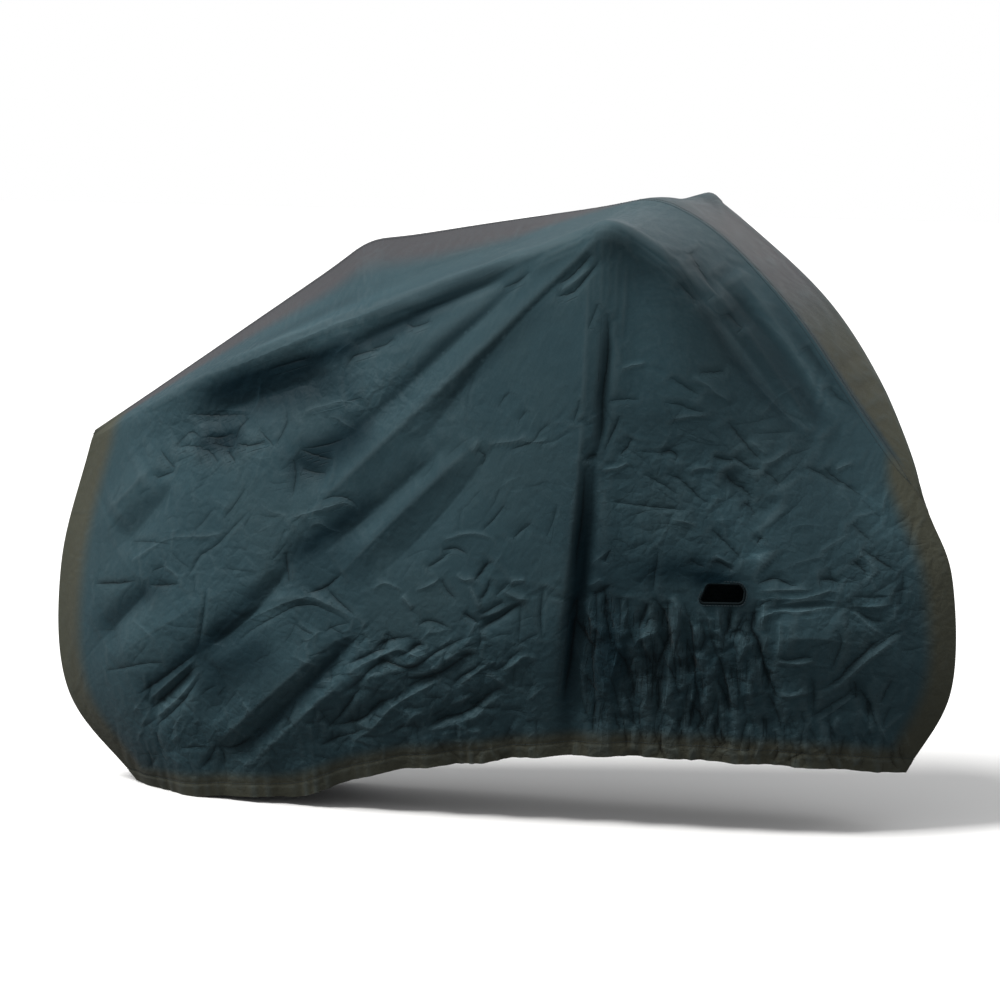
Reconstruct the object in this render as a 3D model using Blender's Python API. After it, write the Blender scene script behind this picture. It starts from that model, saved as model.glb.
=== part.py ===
"""Bicycle cover: two sewn side panels of light woven cloth, draped as over a bicycle.

Frame: metres, +Z up, +X towards the front wheel, +Y to the far side. The origin is on the
ground under the middle of the cover. The near panel hangs on the -Y side.

Each panel is a thin sheet lofted through a table of sections. A section runs from the centre
seam over the shoulder line, down the waist and skirt, to the elastic hem. Two tables of folds
then push the sheet in or out along its normal.
"""
import math
from collections import namedtuple

import bmesh
import bpy
import numpy as np
from mathutils import Vector

# driving dimensions, metres
WALL = 0.0020                # thickness of the sheet
HEM_WALL = 0.0030            # thickness of the turned hem with its elastic
HEM_DEPTH = 0.030            # height of the turned hem
SEAM_GAP = 0.0003            # between the two panels, and between binding and panel
NEAR_PITCH = 0.031           # size of a quad on the near panel
GATHER_PITCH = 0.022         # the same in front of the bar, where the near skirt is gathered
FAR_PITCH = 0.043            # size of a quad on the far panel
TOP_ROWS = 7                 # quads between the seam and the shoulder
CREASE_ROUND = 0.10          # share of a band over which the shoulder crease is rounded
CORNER_ROUND = 0.026         # length over which a corner of the ridge is rounded
SEAM_CALM = 0.045            # folds fade out over this distance from the seam

# lock slot beside the front wheel, cut through the near panel
SLOT_CENTRE = (0.4855, -0.2227, 0.4490)
SLOT_HEADING = 0.196         # sideways run of the cloth there for each metre forwards
SLOT_CALM = 0.075            # folds fade out within this distance of the slot
SLOT_OUTLINE = (             # corners of the free opening, forwards and up, with their radius
    (-0.038, -0.0150, 0.004),
    (0.035, -0.0150, 0.008),
    (0.038, 0.0050, 0.010),
    (0.031, 0.0150, 0.008),
    (-0.025, 0.0150, 0.006),
)
CORNER_STEPS = 5             # points on each rounded corner of the slot
BINDING_RADIUS = 0.0024
CUTTER_DEPTH = 0.060

# one row for each section, rear to front; corner marks a sharp turn of the ridge
Section = namedtuple("Section", "name corner seam shoulder waist skirt hem")
NEAR_SECTIONS = (
    #        name          corner  seam x, z        shoulder x, y, z          waist x, y, z
    #                                               skirt x, y, z             hem x, y, z
    Section("rear seam", False, (-0.780, 0.665), (-0.788, 0.000, 0.645), (-0.853, 0.000, 0.406),
            (-0.842, 0.000, 0.168), (-0.704, 0.000, 0.002)),
    Section("rack", False, (-0.649, 0.752), (-0.604, -0.090, 0.741), (-0.657, -0.130, 0.425),
            (-0.648, -0.130, 0.190), (-0.563, -0.090, 0.000)),
    Section("rear wheel", False, (-0.450, 0.886), (-0.396, -0.140, 0.841), (-0.436, -0.180, 0.498),
            (-0.428, -0.180, 0.240), (-0.335, -0.120, 0.025)),
    Section("saddle", True, (-0.236, 1.030), (-0.168, -0.190, 0.920), (-0.201, -0.220, 0.550),
            (-0.187, -0.210, 0.276), (-0.164, -0.140, 0.077)),
    Section("pedals", False, (0.012, 1.073), (0.069, -0.245, 1.012), (0.048, -0.250, 0.636),
            (0.036, -0.230, 0.346), (0.011, -0.150, 0.106)),
    Section("bar", True, (0.301, 1.118), (0.302, -0.302, 1.104), (0.285, -0.280, 0.789),
            (0.251, -0.240, 0.430), (0.185, -0.150, 0.129)),
    Section("lamp", False, (0.412, 1.067), (0.399, -0.250, 1.032), (0.373, -0.260, 0.755),
            (0.360, -0.240, 0.435), (0.328, -0.150, 0.136)),
    Section("fork", False, (0.552, 0.930), (0.490, -0.160, 0.871), (0.481, -0.210, 0.665),
            (0.485, -0.220, 0.420), (0.467, -0.140, 0.133)),
    Section("front axle", False, (0.657, 0.783), (0.594, -0.100, 0.709), (0.600, -0.160, 0.567),
            (0.612, -0.180, 0.367), (0.604, -0.120, 0.128)),
    Section("front wheel", False, (0.725, 0.687), (0.697, -0.060, 0.601), (0.713, -0.100, 0.483),
            (0.726, -0.110, 0.325), (0.705, -0.070, 0.117)),
    Section("front seam", False, (0.767, 0.632), (0.807, 0.000, 0.571), (0.850, 0.000, 0.456),
            (0.850, 0.000, 0.255), (0.770, 0.000, 0.105)),
)
# the far side hangs the same way but for its shoulder over the bar and the front wheel
FAR_SHOULDERS = {
    "bar": (0.332, 0.302, 1.112),
    "lamp": (0.421, 0.262, 1.055),
    "fork": (0.572, 0.193, 0.944),
    "front axle": (0.687, 0.122, 0.810),
    "front wheel": (0.760, 0.051, 0.689),
}

# what the cloth is pushed up by from inside: a place, the reach of the push and the push
Peak = namedtuple("Peak", "name x y z reach push_x push_y push_z")
PEAKS = (
    Peak("near grip", 0.302, -0.300, 1.095, 0.045, 0.000, -0.014, 0.010),
    Peak("far grip", 0.326, 0.296, 1.105, 0.040, 0.002, 0.008, 0.021),
    Peak("stem", 0.318, 0.050, 1.110, 0.085, 0.000, 0.000, 0.008),
    Peak("saddle edge", -0.225, -0.075, 0.998, 0.060, 0.000, -0.006, 0.012),
    Peak("saddle back", -0.225, 0.075, 0.998, 0.060, 0.000, 0.006, 0.012),
    Peak("hem lap", -0.345, -0.120, 0.025, 0.055, 0.000, 0.000, -0.008),
)

# one row for each fold: a bowed line in the side view, its half-widths and its height
Fold = namedtuple("Fold", "name x0 z0 x1 z1 bow width0 width1 height")
NEAR_FOLDS = (
    # fanning out from the near grip
    Fold("shoulder ridge", 0.210, 1.064, -0.247, 0.893, -0.009, 0.020, 0.026, 0.010),
    Fold("shoulder ridge rear", -0.267, 0.885, -0.649, 0.728, -0.002, 0.026, 0.024, 0.008),
    Fold("shoulder valley", 0.130, 1.020, -0.242, 0.853, 0.000, 0.020, 0.032, -0.020),
    Fold("shoulder valley rear", -0.263, 0.845, -0.557, 0.732, -0.004, 0.032, 0.028, -0.011),
    Fold("top facet valley", 0.143, 1.062, -0.150, 0.980, -0.007, 0.022, 0.030, -0.007),
    Fold("saddle valley", 0.141, 1.007, -0.245, 0.672, 0.004, 0.018, 0.034, -0.016),
    Fold("grip ridge", 0.254, 1.050, -0.302, 0.539, 0.000, 0.020, 0.036, 0.019),
    Fold("grip valley", 0.267, 1.037, -0.055, 0.680, -0.016, 0.018, 0.026, -0.018),
    Fold("knee valley", -0.030, 0.681, -0.251, 0.492, 0.003, 0.022, 0.028, -0.020),
    Fold("second ridge", 0.029, 0.688, -0.211, 0.459, -0.002, 0.024, 0.030, 0.016),
    Fold("second valley", 0.065, 0.679, -0.138, 0.460, 0.008, 0.026, 0.034, -0.014),
    # hanging straight down from the near grip
    Fold("side ridge", 0.260, 0.963, 0.168, 0.256, 0.019, 0.032, 0.050, 0.011),
    Fold("side valley top", 0.298, 0.912, 0.277, 0.692, 0.003, 0.018, 0.022, -0.013),
    Fold("side valley", 0.266, 0.679, 0.200, 0.171, 0.006, 0.022, 0.036, -0.021),
    # over the rear wheel
    Fold("rear ridge", -0.624, 0.613, -0.729, 0.517, 0.002, 0.024, 0.024, 0.011),
    Fold("rear valley", -0.571, 0.600, -0.704, 0.459, 0.007, 0.028, 0.032, -0.012),
    Fold("tail valley", -0.610, 0.402, -0.740, 0.283, -0.001, 0.022, 0.030, -0.014),
    Fold("tail swell", -0.424, 0.417, -0.710, 0.245, -0.007, 0.050, 0.050, 0.010),
    Fold("chain valley", -0.322, 0.466, -0.508, 0.287, 0.017, 0.022, 0.024, -0.018),
    Fold("fan valley", -0.514, 0.254, -0.645, 0.147, 0.002, 0.020, 0.024, -0.010),
    Fold("arch ridge", -0.483, 0.307, -0.179, 0.370, 0.060, 0.020, 0.020, 0.010),
    Fold("hollow under arch", -0.498, 0.272, -0.487, 0.158, 0.032, 0.034, 0.034, -0.009),
    Fold("rear skirt ridge", -0.233, 0.329, -0.501, 0.101, -0.003, 0.034, 0.038, 0.017),
    Fold("rear skirt valley", -0.172, 0.355, -0.477, 0.071, 0.002, 0.022, 0.028, -0.022),
    Fold("middle skirt ridge", -0.204, 0.266, -0.440, 0.062, -0.004, 0.028, 0.030, 0.013),
    Fold("star crumple", -0.523, 0.675, -0.438, 0.681, -0.004, 0.024, 0.024, -0.013),
    Fold("saddle dent", -0.320, 0.658, -0.233, 0.637, -0.015, 0.024, 0.024, -0.008),
    # the crumpled skirt below the pedals
    Fold("crank ridge", -0.218, 0.251, 0.026, 0.341, -0.006, 0.022, 0.022, 0.010),
    Fold("crank valley", -0.242, 0.160, 0.039, 0.316, 0.001, 0.020, 0.020, -0.010),
    Fold("hem crease", -0.075, 0.170, 0.083, 0.260, -0.002, 0.018, 0.018, -0.010),
    Fold("pedal crease", 0.042, 0.364, 0.130, 0.424, 0.002, 0.018, 0.018, -0.007),
    # from the bar to the front wheel
    Fold("bar valley", 0.389, 1.035, 0.598, 0.709, 0.003, 0.016, 0.020, -0.012),
    Fold("bar ridge", 0.413, 1.024, 0.620, 0.707, 0.001, 0.018, 0.022, 0.009),
    Fold("lamp valley", 0.416, 1.039, 0.646, 0.722, 0.008, 0.016, 0.032, -0.017),
    Fold("lamp ridge", 0.427, 1.041, 0.661, 0.721, 0.005, 0.016, 0.020, 0.009),
    Fold("fork valley", 0.485, 0.669, 0.568, 0.576, -0.002, 0.020, 0.022, -0.011),
    # gathers and pleats of the front skirt
    Fold("gather 1", 0.280, 0.431, 0.304, 0.177, 0.016, 0.018, 0.018, -0.011),
    Fold("gather 2", 0.369, 0.440, 0.344, 0.179, 0.020, 0.016, 0.018, -0.014),
    Fold("gather 3", 0.418, 0.436, 0.425, 0.173, 0.004, 0.016, 0.018, -0.015),
    Fold("gather 4", 0.464, 0.349, 0.484, 0.176, 0.007, 0.016, 0.016, -0.012),
    Fold("gather 5", 0.535, 0.384, 0.559, 0.182, 0.012, 0.016, 0.020, -0.015),
    Fold("gather 6", 0.633, 0.300, 0.631, 0.164, -0.002, 0.016, 0.018, -0.012),
    Fold("gather 7", 0.712, 0.270, 0.716, 0.156, 0.003, 0.016, 0.018, -0.010),
    Fold("wheel pleat top", 0.553, 0.417, 0.681, 0.420, 0.006, 0.018, 0.018, -0.008),
    Fold("wheel pleat side", 0.681, 0.420, 0.763, 0.354, 0.010, 0.018, 0.018, -0.008),
    Fold("wheel pleat low", 0.628, 0.210, 0.722, 0.285, -0.010, 0.018, 0.018, -0.010),
    Fold("wheel swell", 0.574, 0.367, 0.707, 0.351, 0.010, 0.045, 0.045, 0.012),
)
FAR_FOLDS = (
    Fold("rack valley", 0.190, 1.030, -0.380, 0.720, 0.006, 0.028, 0.038, -0.015),
    Fold("rack ridge", 0.220, 1.000, -0.330, 0.610, -0.008, 0.028, 0.042, 0.013),
    Fold("saddle valley", 0.240, 0.960, -0.190, 0.560, 0.006, 0.028, 0.040, -0.016),
    Fold("grip ridge", 0.290, 0.960, -0.020, 0.500, 0.010, 0.028, 0.045, 0.015),
    Fold("side valley", 0.320, 0.880, 0.240, 0.170, 0.012, 0.028, 0.044, -0.019),
    Fold("skirt ridge", -0.110, 0.450, -0.430, 0.110, 0.004, 0.040, 0.044, 0.016),
    Fold("skirt valley", -0.020, 0.420, -0.330, 0.090, -0.004, 0.030, 0.036, -0.018),
    Fold("tail valley", -0.480, 0.500, -0.720, 0.250, 0.008, 0.030, 0.036, -0.014),
    Fold("tail ridge", -0.470, 0.380, -0.640, 0.130, 0.000, 0.034, 0.038, 0.012),
    Fold("lamp valley", 0.450, 0.980, 0.660, 0.690, 0.010, 0.026, 0.034, -0.013),
    Fold("lamp ridge", 0.400, 0.960, 0.600, 0.620, 0.008, 0.030, 0.036, 0.010),
    Fold("gather 1", 0.410, 0.430, 0.420, 0.170, 0.008, 0.026, 0.028, -0.014),
    Fold("gather 2", 0.540, 0.400, 0.560, 0.160, 0.006, 0.026, 0.028, -0.015),
    Fold("gather 3", 0.690, 0.340, 0.690, 0.150, 0.000, 0.024, 0.026, -0.011),
    Fold("middle gather", 0.060, 0.330, 0.090, 0.130, 0.004, 0.026, 0.030, -0.011),
)
RIPPLE_HEIGHT = 0.004        # gathers that the elastic pulls into the hem
RIPPLE_LENGTH = 0.115
RIPPLE_REACH = 0.090         # how far up from the hem they fade out


def far_sections():
    """The near sections mirrored, with the far side's own shoulders."""
    rows = []
    for row in NEAR_SECTIONS:
        mirrored = [(x, -y, z) for x, y, z in row[3:]]
        mirrored[0] = FAR_SHOULDERS.get(row.name, mirrored[0])
        rows.append(Section(row.name, row.corner, row.seam, *mirrored))
    return rows


def smooth_curve(knots, places, corners, t):
    """A smooth curve through knots at the given places, with sharp turns at the corners."""
    steps = np.diff(places)
    trailing = [1] * (knots.ndim - 1)
    slopes = np.diff(knots, axis=0) / steps.reshape(-1, *trailing)
    enter = np.concatenate([slopes[:1], slopes])
    leave = np.concatenate([slopes, slopes[-1:]])
    for i in range(1, len(places) - 1):
        if not corners[i]:
            before, after = steps[i - 1], steps[i]
            mean = (slopes[i - 1] * after + slopes[i] * before) / (before + after)
            enter[i] = mean
            leave[i] = mean
    span = np.clip(np.searchsorted(places, t, side="right") - 1, 0, len(steps) - 1)
    h = steps[span].reshape(-1, *trailing)
    s = ((t - places[span]) / steps[span]).reshape(-1, *trailing)
    return (knots[span] * (1 + 2 * s) * (1 - s) ** 2 + leave[span] * h * s * (1 - s) ** 2
            + knots[span + 1] * s * s * (3 - 2 * s) + enter[span + 1] * h * s * s * (s - 1))


def loft(sections, stations, downs):
    """Points of the sheet: stations run along x, downs run 0 at the seam to 4 at the hem."""
    knots = np.array([[(row.seam[0], 0.0, row.seam[1]), *row[3:]] for row in sections])
    places = np.array([row.waist[0] for row in sections])
    sharp = [row.corner for row in sections]
    taut = smooth_curve(knots[:, :2], places, sharp, stations)
    hung = smooth_curve(knots[:, 2:], places, [False] * len(sections), stations)
    columns = np.concatenate([taut, hung], axis=1).transpose(1, 0, 2)
    bands = np.arange(len(columns), dtype=float)
    shoulder = bands == 1
    return smooth_curve(columns, bands, shoulder, downs).transpose(1, 0, 2)


def rounded_loft(sections, stations, downs):
    """The loft averaged over a short reach, which rounds its creases but keeps its edges."""
    first, last = sections[0].waist[0], sections[-1].waist[0]
    hem = len(sections[0]) - 3
    reach_x = np.minimum(CORNER_ROUND, np.minimum(stations - first, last - stations))
    reach_d = np.minimum(CREASE_ROUND, np.minimum(downs, hem - downs))
    offsets = (-1.0, -0.5, 0.0, 0.5, 1.0)
    total = 0
    for a in offsets:
        for b in offsets:
            total = total + loft(sections, stations + a * reach_x, downs + b * reach_d)
    return total / len(offsets) ** 2


def normals(points, side):
    """Unit normals of the grid, outwards on the given side of the seam."""
    normal = np.cross(np.gradient(points, axis=0), np.gradient(points, axis=1))
    normal *= np.sign(np.sum(normal[..., 1])) * side
    return normal / np.linalg.norm(normal, axis=2, keepdims=True)


def peak_push(points):
    """How far the peaks push each point."""
    total = np.zeros_like(points)
    for peak in PEAKS:
        away = np.linalg.norm(points - np.array([peak.x, peak.y, peak.z]), axis=2)
        push = np.array([peak.push_x, peak.push_y, peak.push_z])
        total += np.exp(-(away / peak.reach) ** 2)[..., None] * push
    return total


def fold_height(folds, x, z):
    """Sum of all folds at the side-view places x, z."""
    total = np.zeros_like(x)
    for fold in folds:
        dx, dz = fold.x1 - fold.x0, fold.z1 - fold.z0
        length = math.hypot(dx, dz)
        t = ((x - fold.x0) * dx + (z - fold.z0) * dz) / length ** 2
        across = ((z - fold.z0) * dx - (x - fold.x0) * dz) / length
        across = across - fold.bow * 4 * t * (1 - t)
        width = fold.width0 + (fold.width1 - fold.width0) * np.clip(t, 0, 1)
        beyond = np.maximum(np.maximum(-t, t - 1), 0) * length
        total += fold.height * np.exp(-(across / width) ** 2 - (beyond / width) ** 2)
    return total


def hem_ripple(points):
    """Shallow gathers along the hem, uneven in length."""
    x = points[..., 0]
    above = np.linalg.norm(points - points[:, -1:], axis=2)
    phase = 2 * math.pi * x / RIPPLE_LENGTH + 0.9 * np.sin(7 * x)
    return RIPPLE_HEIGHT * np.sin(phase) * np.exp(-above / RIPPLE_REACH)


def sheet_grid(sections, folds, side, stations, downs):
    """The draped sheet, the rounded loft with its peaks and folds, and the folds' height."""
    base = rounded_loft(sections, stations, downs)
    base += peak_push(base)
    x, y, z = np.moveaxis(base, 2, 0)
    calm = 1 - np.exp(-(y / SEAM_CALM) ** 2)
    if side < 0:
        slot_away = np.hypot(x - SLOT_CENTRE[0], z - SLOT_CENTRE[2])
        calm *= 1 - np.exp(-(slot_away / SLOT_CALM) ** 4)
    height = (fold_height(folds, x, z) + hem_ripple(base)) * calm
    return base + normals(base, side) * height[..., None], height


def subdivide(places, counts):
    """The places with each span cut into its count of equal steps."""
    result = [places[0]]
    for start, end, count in zip(places[:-1], places[1:], counts):
        result += [start + (end - start) * (i + 1) / count for i in range(count)]
    return np.array(result)


def grid_places(sections, pitch, gather_pitch):
    """Stations and downs of the sheet's grid lines."""
    places = [row.waist[0] for row in sections]
    bar = next(row for row in sections if row.name == "bar")
    station_counts = []
    for start, end in zip(places[:-1], places[1:]):
        wanted = gather_pitch if start >= bar.waist[0] else pitch
        station_counts.append(max(2, round((end - start) / wanted)))
    drops = [math.dist(p, q) for p, q in zip(bar[3:-1], bar[4:])]
    down_counts = [TOP_ROWS] + [round(drop / pitch) for drop in drops]
    bands = range(len(down_counts) + 1)
    return subdivide(places, station_counts), subdivide(bands, down_counts)


def lay_edge_in_seam(outer, outward):
    """Turn the normals along the seam into its plane, so that the cut edge is flat there."""
    rows, columns = outer.shape[1], outer.shape[0]
    path = np.concatenate([outer[0, :0:-1], outer[:, 0], outer[-1, 1:]])
    run = np.gradient(path, axis=0)
    left = np.stack([-run[:, 2], np.zeros(len(run)), run[:, 0]], axis=1)
    left /= np.linalg.norm(left, axis=1, keepdims=True)
    outward[0, :0:-1] = left[:rows - 1]
    outward[:, 0] = left[rows - 1:rows - 1 + columns]
    outward[-1, 1:] = left[rows - 1 + columns:]


def make_panel(name, sections, folds, side, pitch, gather_pitch, material):
    """One panel as a closed wall: the outer grid, the inner grid and the cut edge round them."""
    stations, downs = grid_places(sections, pitch, gather_pitch)
    outer, height = sheet_grid(sections, folds, side, stations, downs)
    outward = normals(outer, side)
    lay_edge_in_seam(outer, outward)
    above_hem = np.linalg.norm(outer - outer[:, -1:], axis=2)
    wall = np.where(above_hem < HEM_DEPTH, HEM_WALL, WALL)
    inner = outer - outward * wall[..., None]
    for layer in (outer, inner):
        layer[..., 1] = side * np.maximum(side * layer[..., 1], SEAM_GAP / 2)
    bm = bmesh.new()
    outer_sheet, inner_sheet = [[[bm.verts.new(point) for point in column] for column in layer]
                                for layer in (outer, inner)]
    columns, rows = len(stations), len(downs)
    for sheet in (outer_sheet, inner_sheet):
        for i in range(columns - 1):
            for j in range(rows - 1):
                a, b, c, d = sheet[i][j], sheet[i + 1][j], sheet[i + 1][j + 1], sheet[i][j + 1]
                along_ac = abs(height[i, j] - height[i + 1, j + 1])
                along_bd = abs(height[i + 1, j] - height[i, j + 1])
                if along_ac < along_bd:            # split along the run of the fold
                    bm.faces.new([a, b, c])
                    bm.faces.new([a, c, d])
                else:
                    bm.faces.new([a, b, d])
                    bm.faces.new([b, c, d])
    rim = [(i, 0) for i in range(columns)] + [(columns - 1, j) for j in range(1, rows)]
    rim += [(i, rows - 1) for i in range(columns - 2, -1, -1)]
    rim += [(0, j) for j in range(rows - 2, 0, -1)]
    for (i, j), (k, m) in zip(rim, rim[1:] + rim[:1]):
        bm.faces.new([outer_sheet[i][j], inner_sheet[i][j], inner_sheet[k][m], outer_sheet[k][m]])
    bmesh.ops.recalc_face_normals(bm, faces=bm.faces)
    return finish_object(name, bm, material, cover)


def finish_object(name, bm, material, collection):
    """The bmesh as an object of the collection."""
    mesh = bpy.data.meshes.new(name)
    bm.to_mesh(mesh)
    bm.free()
    mesh.shade_smooth()
    if material:
        mesh.materials.append(material)
    result = bpy.data.objects.new(name, mesh)
    collection.objects.link(result)
    return result


def slot_outline(grow):
    """The rounded outline of the lock slot, grown outwards, in its own forward and up."""
    points = []
    count = len(SLOT_OUTLINE)
    for i, (a, b, radius) in enumerate(SLOT_OUTLINE):
        corner = Vector((a, b))
        before = (corner - Vector(SLOT_OUTLINE[i - 1][:2])).normalized()
        after = (Vector(SLOT_OUTLINE[(i + 1) % count][:2]) - corner).normalized()
        in_before, in_after = Vector((-before.y, before.x)), Vector((-after.y, after.x))
        centre = corner + (in_before + in_after) * radius / (1 + in_before.dot(in_after))
        start = math.atan2(-in_before.y, -in_before.x)
        turn = before.angle_signed(after)
        for step in range(CORNER_STEPS):
            angle = start + abs(turn) * step / (CORNER_STEPS - 1)
            reach = radius + grow
            points.append((centre.x + reach * math.cos(angle), centre.y + reach * math.sin(angle)))
    return points


def slot_place(a, b, out):
    """A point of the slot's own frame in the object's frame."""
    forward = Vector((1.0, SLOT_HEADING, 0.0)).normalized()
    outward = Vector((SLOT_HEADING, -1.0, 0.0)).normalized()
    return Vector(SLOT_CENTRE) + forward * a + Vector((0.0, 0.0, 1.0)) * b + outward * out


def make_slot_cutter():
    """A prism through the near panel, wide enough for the binding."""
    outline = slot_outline(2 * BINDING_RADIUS + SEAM_GAP)
    bm = bmesh.new()
    front = bm.faces.new([bm.verts.new(slot_place(a, b, CUTTER_DEPTH / 2)) for a, b in outline])
    extruded = bmesh.ops.extrude_face_region(bm, geom=[front])
    moved = [item for item in extruded["geom"] if isinstance(item, bmesh.types.BMVert)]
    back = slot_place(0, 0, -CUTTER_DEPTH) - slot_place(0, 0, 0)
    bmesh.ops.translate(bm, verts=moved, vec=back)
    bmesh.ops.recalc_face_normals(bm, faces=bm.faces)
    cutter = finish_object("slot_cutter", bm, None, cutters)
    cutter.hide_render = True
    cutter.display_type = "WIRE"
    return cutter


def make_binding(material):
    """The bound edge of the lock slot: a round cord that follows the outline."""
    outline = slot_outline(BINDING_RADIUS)
    curve = bpy.data.curves.new("lock_slot_binding", "CURVE")
    curve.dimensions = "3D"
    curve.bevel_depth = BINDING_RADIUS
    curve.bevel_resolution = 2
    spline = curve.splines.new("POLY")
    spline.points.add(len(outline) - 1)
    spline.use_cyclic_u = True
    for point, (a, b) in zip(spline.points, outline):
        point.co = (*slot_place(a, b, -WALL / 2), 1.0)
    curve.materials.append(material)
    binding = bpy.data.objects.new("lock_slot_binding", curve)
    cover.objects.link(binding)
    return binding


def make_material(name, colour, roughness):
    material = bpy.data.materials.new(name)
    material.use_nodes = True
    shader = material.node_tree.nodes["Principled BSDF"]
    shader.inputs["Base Color"].default_value = (*colour, 1.0)
    shader.inputs["Roughness"].default_value = roughness
    shader.inputs["Metallic"].default_value = 0.0
    return material


def make_collection(name):
    collection = bpy.data.collections.new(name)
    bpy.context.scene.collection.children.link(collection)
    return collection


for old in list(bpy.data.objects):
    bpy.data.objects.remove(old, do_unlink=True)
cover = make_collection("bicycle_cover")
cutters = make_collection("cutters")

near_cloth = make_material("near_cloth", (0.030, 0.058, 0.070), 0.62)
far_cloth = make_material("far_cloth", (0.040, 0.055, 0.060), 0.62)
binding_tape = make_material("binding_tape", (0.012, 0.018, 0.022), 0.70)

near_panel = make_panel("near_panel", NEAR_SECTIONS, NEAR_FOLDS, -1, NEAR_PITCH, GATHER_PITCH,
                        near_cloth)
slot_cut = near_panel.modifiers.new("lock_slot", "BOOLEAN")
slot_cut.operation = "DIFFERENCE"
slot_cut.solver = "EXACT"
slot_cut.object = make_slot_cutter()
make_panel("far_panel", far_sections(), FAR_FOLDS, 1, FAR_PITCH, FAR_PITCH, far_cloth)
make_binding(binding_tape)
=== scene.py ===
# A fitted bicycle cover of two sewn panels of thin coated cloth, in the shape it hangs in.
# Metres, +Z up, +X forwards. The centre seam lies in the plane Y = 0.
import math
from collections import namedtuple

import bpy
import numpy as np
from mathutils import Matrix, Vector


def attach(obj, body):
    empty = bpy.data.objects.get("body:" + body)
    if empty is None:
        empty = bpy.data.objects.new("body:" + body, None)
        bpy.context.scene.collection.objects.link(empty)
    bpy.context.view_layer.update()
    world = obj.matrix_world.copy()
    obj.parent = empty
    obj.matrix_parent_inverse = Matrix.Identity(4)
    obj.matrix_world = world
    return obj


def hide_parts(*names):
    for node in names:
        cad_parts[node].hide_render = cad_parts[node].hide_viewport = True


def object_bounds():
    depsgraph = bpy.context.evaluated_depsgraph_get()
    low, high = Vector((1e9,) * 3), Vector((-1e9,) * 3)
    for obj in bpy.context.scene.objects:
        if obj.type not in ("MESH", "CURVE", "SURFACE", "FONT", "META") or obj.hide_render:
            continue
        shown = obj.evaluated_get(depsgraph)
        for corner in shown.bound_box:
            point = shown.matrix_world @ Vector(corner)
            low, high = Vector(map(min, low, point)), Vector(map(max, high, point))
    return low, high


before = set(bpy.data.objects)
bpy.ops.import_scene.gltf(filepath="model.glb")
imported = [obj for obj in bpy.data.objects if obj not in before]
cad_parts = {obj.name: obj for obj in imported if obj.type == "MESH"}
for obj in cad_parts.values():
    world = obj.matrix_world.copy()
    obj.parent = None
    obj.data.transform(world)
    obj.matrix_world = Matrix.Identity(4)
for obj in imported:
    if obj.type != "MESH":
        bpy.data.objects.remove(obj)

scene = bpy.context.scene
cadLow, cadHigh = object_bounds()
print("frame loaded")

# sections of the drape, rear to front; corner marks a sharp turn of the ridge
Section = namedtuple("Section", "name corner seam shoulder waist skirt hem")
nearSections = (
    #        name          corner  seam x, z        shoulder x, y, z          waist x, y, z
    #                                               skirt x, y, z             hem x, y, z
    Section("rear seam", False, (-0.780, 0.665), (-0.788, 0.000, 0.645), (-0.853, 0.000, 0.406),
            (-0.842, 0.000, 0.168), (-0.704, 0.000, 0.002)),
    Section("rack", False, (-0.649, 0.752), (-0.604, -0.090, 0.741), (-0.657, -0.130, 0.425),
            (-0.648, -0.130, 0.190), (-0.563, -0.090, 0.000)),
    Section("rear wheel", False, (-0.450, 0.886), (-0.396, -0.140, 0.841), (-0.436, -0.180, 0.498),
            (-0.428, -0.180, 0.240), (-0.335, -0.120, 0.025)),
    Section("saddle", True, (-0.236, 1.030), (-0.168, -0.190, 0.920), (-0.201, -0.220, 0.550),
            (-0.187, -0.210, 0.276), (-0.164, -0.140, 0.077)),
    Section("pedals", False, (0.012, 1.073), (0.069, -0.245, 1.012), (0.048, -0.250, 0.636),
            (0.036, -0.230, 0.346), (0.011, -0.150, 0.106)),
    Section("bar", True, (0.301, 1.118), (0.302, -0.302, 1.104), (0.285, -0.280, 0.789),
            (0.251, -0.240, 0.430), (0.185, -0.150, 0.129)),
    Section("lamp", False, (0.412, 1.067), (0.399, -0.250, 1.032), (0.373, -0.260, 0.755),
            (0.360, -0.240, 0.435), (0.328, -0.150, 0.136)),
    Section("fork", False, (0.552, 0.930), (0.490, -0.160, 0.871), (0.481, -0.210, 0.665),
            (0.485, -0.220, 0.420), (0.467, -0.140, 0.133)),
    Section("front axle", False, (0.657, 0.783), (0.594, -0.100, 0.709), (0.600, -0.160, 0.567),
            (0.612, -0.180, 0.367), (0.604, -0.120, 0.128)),
    Section("front wheel", False, (0.725, 0.687), (0.697, -0.060, 0.601), (0.713, -0.100, 0.483),
            (0.726, -0.110, 0.325), (0.705, -0.070, 0.117)),
    Section("front seam", False, (0.767, 0.632), (0.807, 0.000, 0.571), (0.850, 0.000, 0.456),
            (0.850, 0.000, 0.255), (0.770, 0.000, 0.105)),
)
# the far side hangs the same way but for its shoulder over the bar and the front wheel
farShoulders = {
    "bar": (0.332, 0.302, 1.112),
    "lamp": (0.421, 0.262, 1.055),
    "fork": (0.572, 0.193, 0.944),
    "front axle": (0.687, 0.122, 0.810),
    "front wheel": (0.760, 0.051, 0.689),
}

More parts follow.
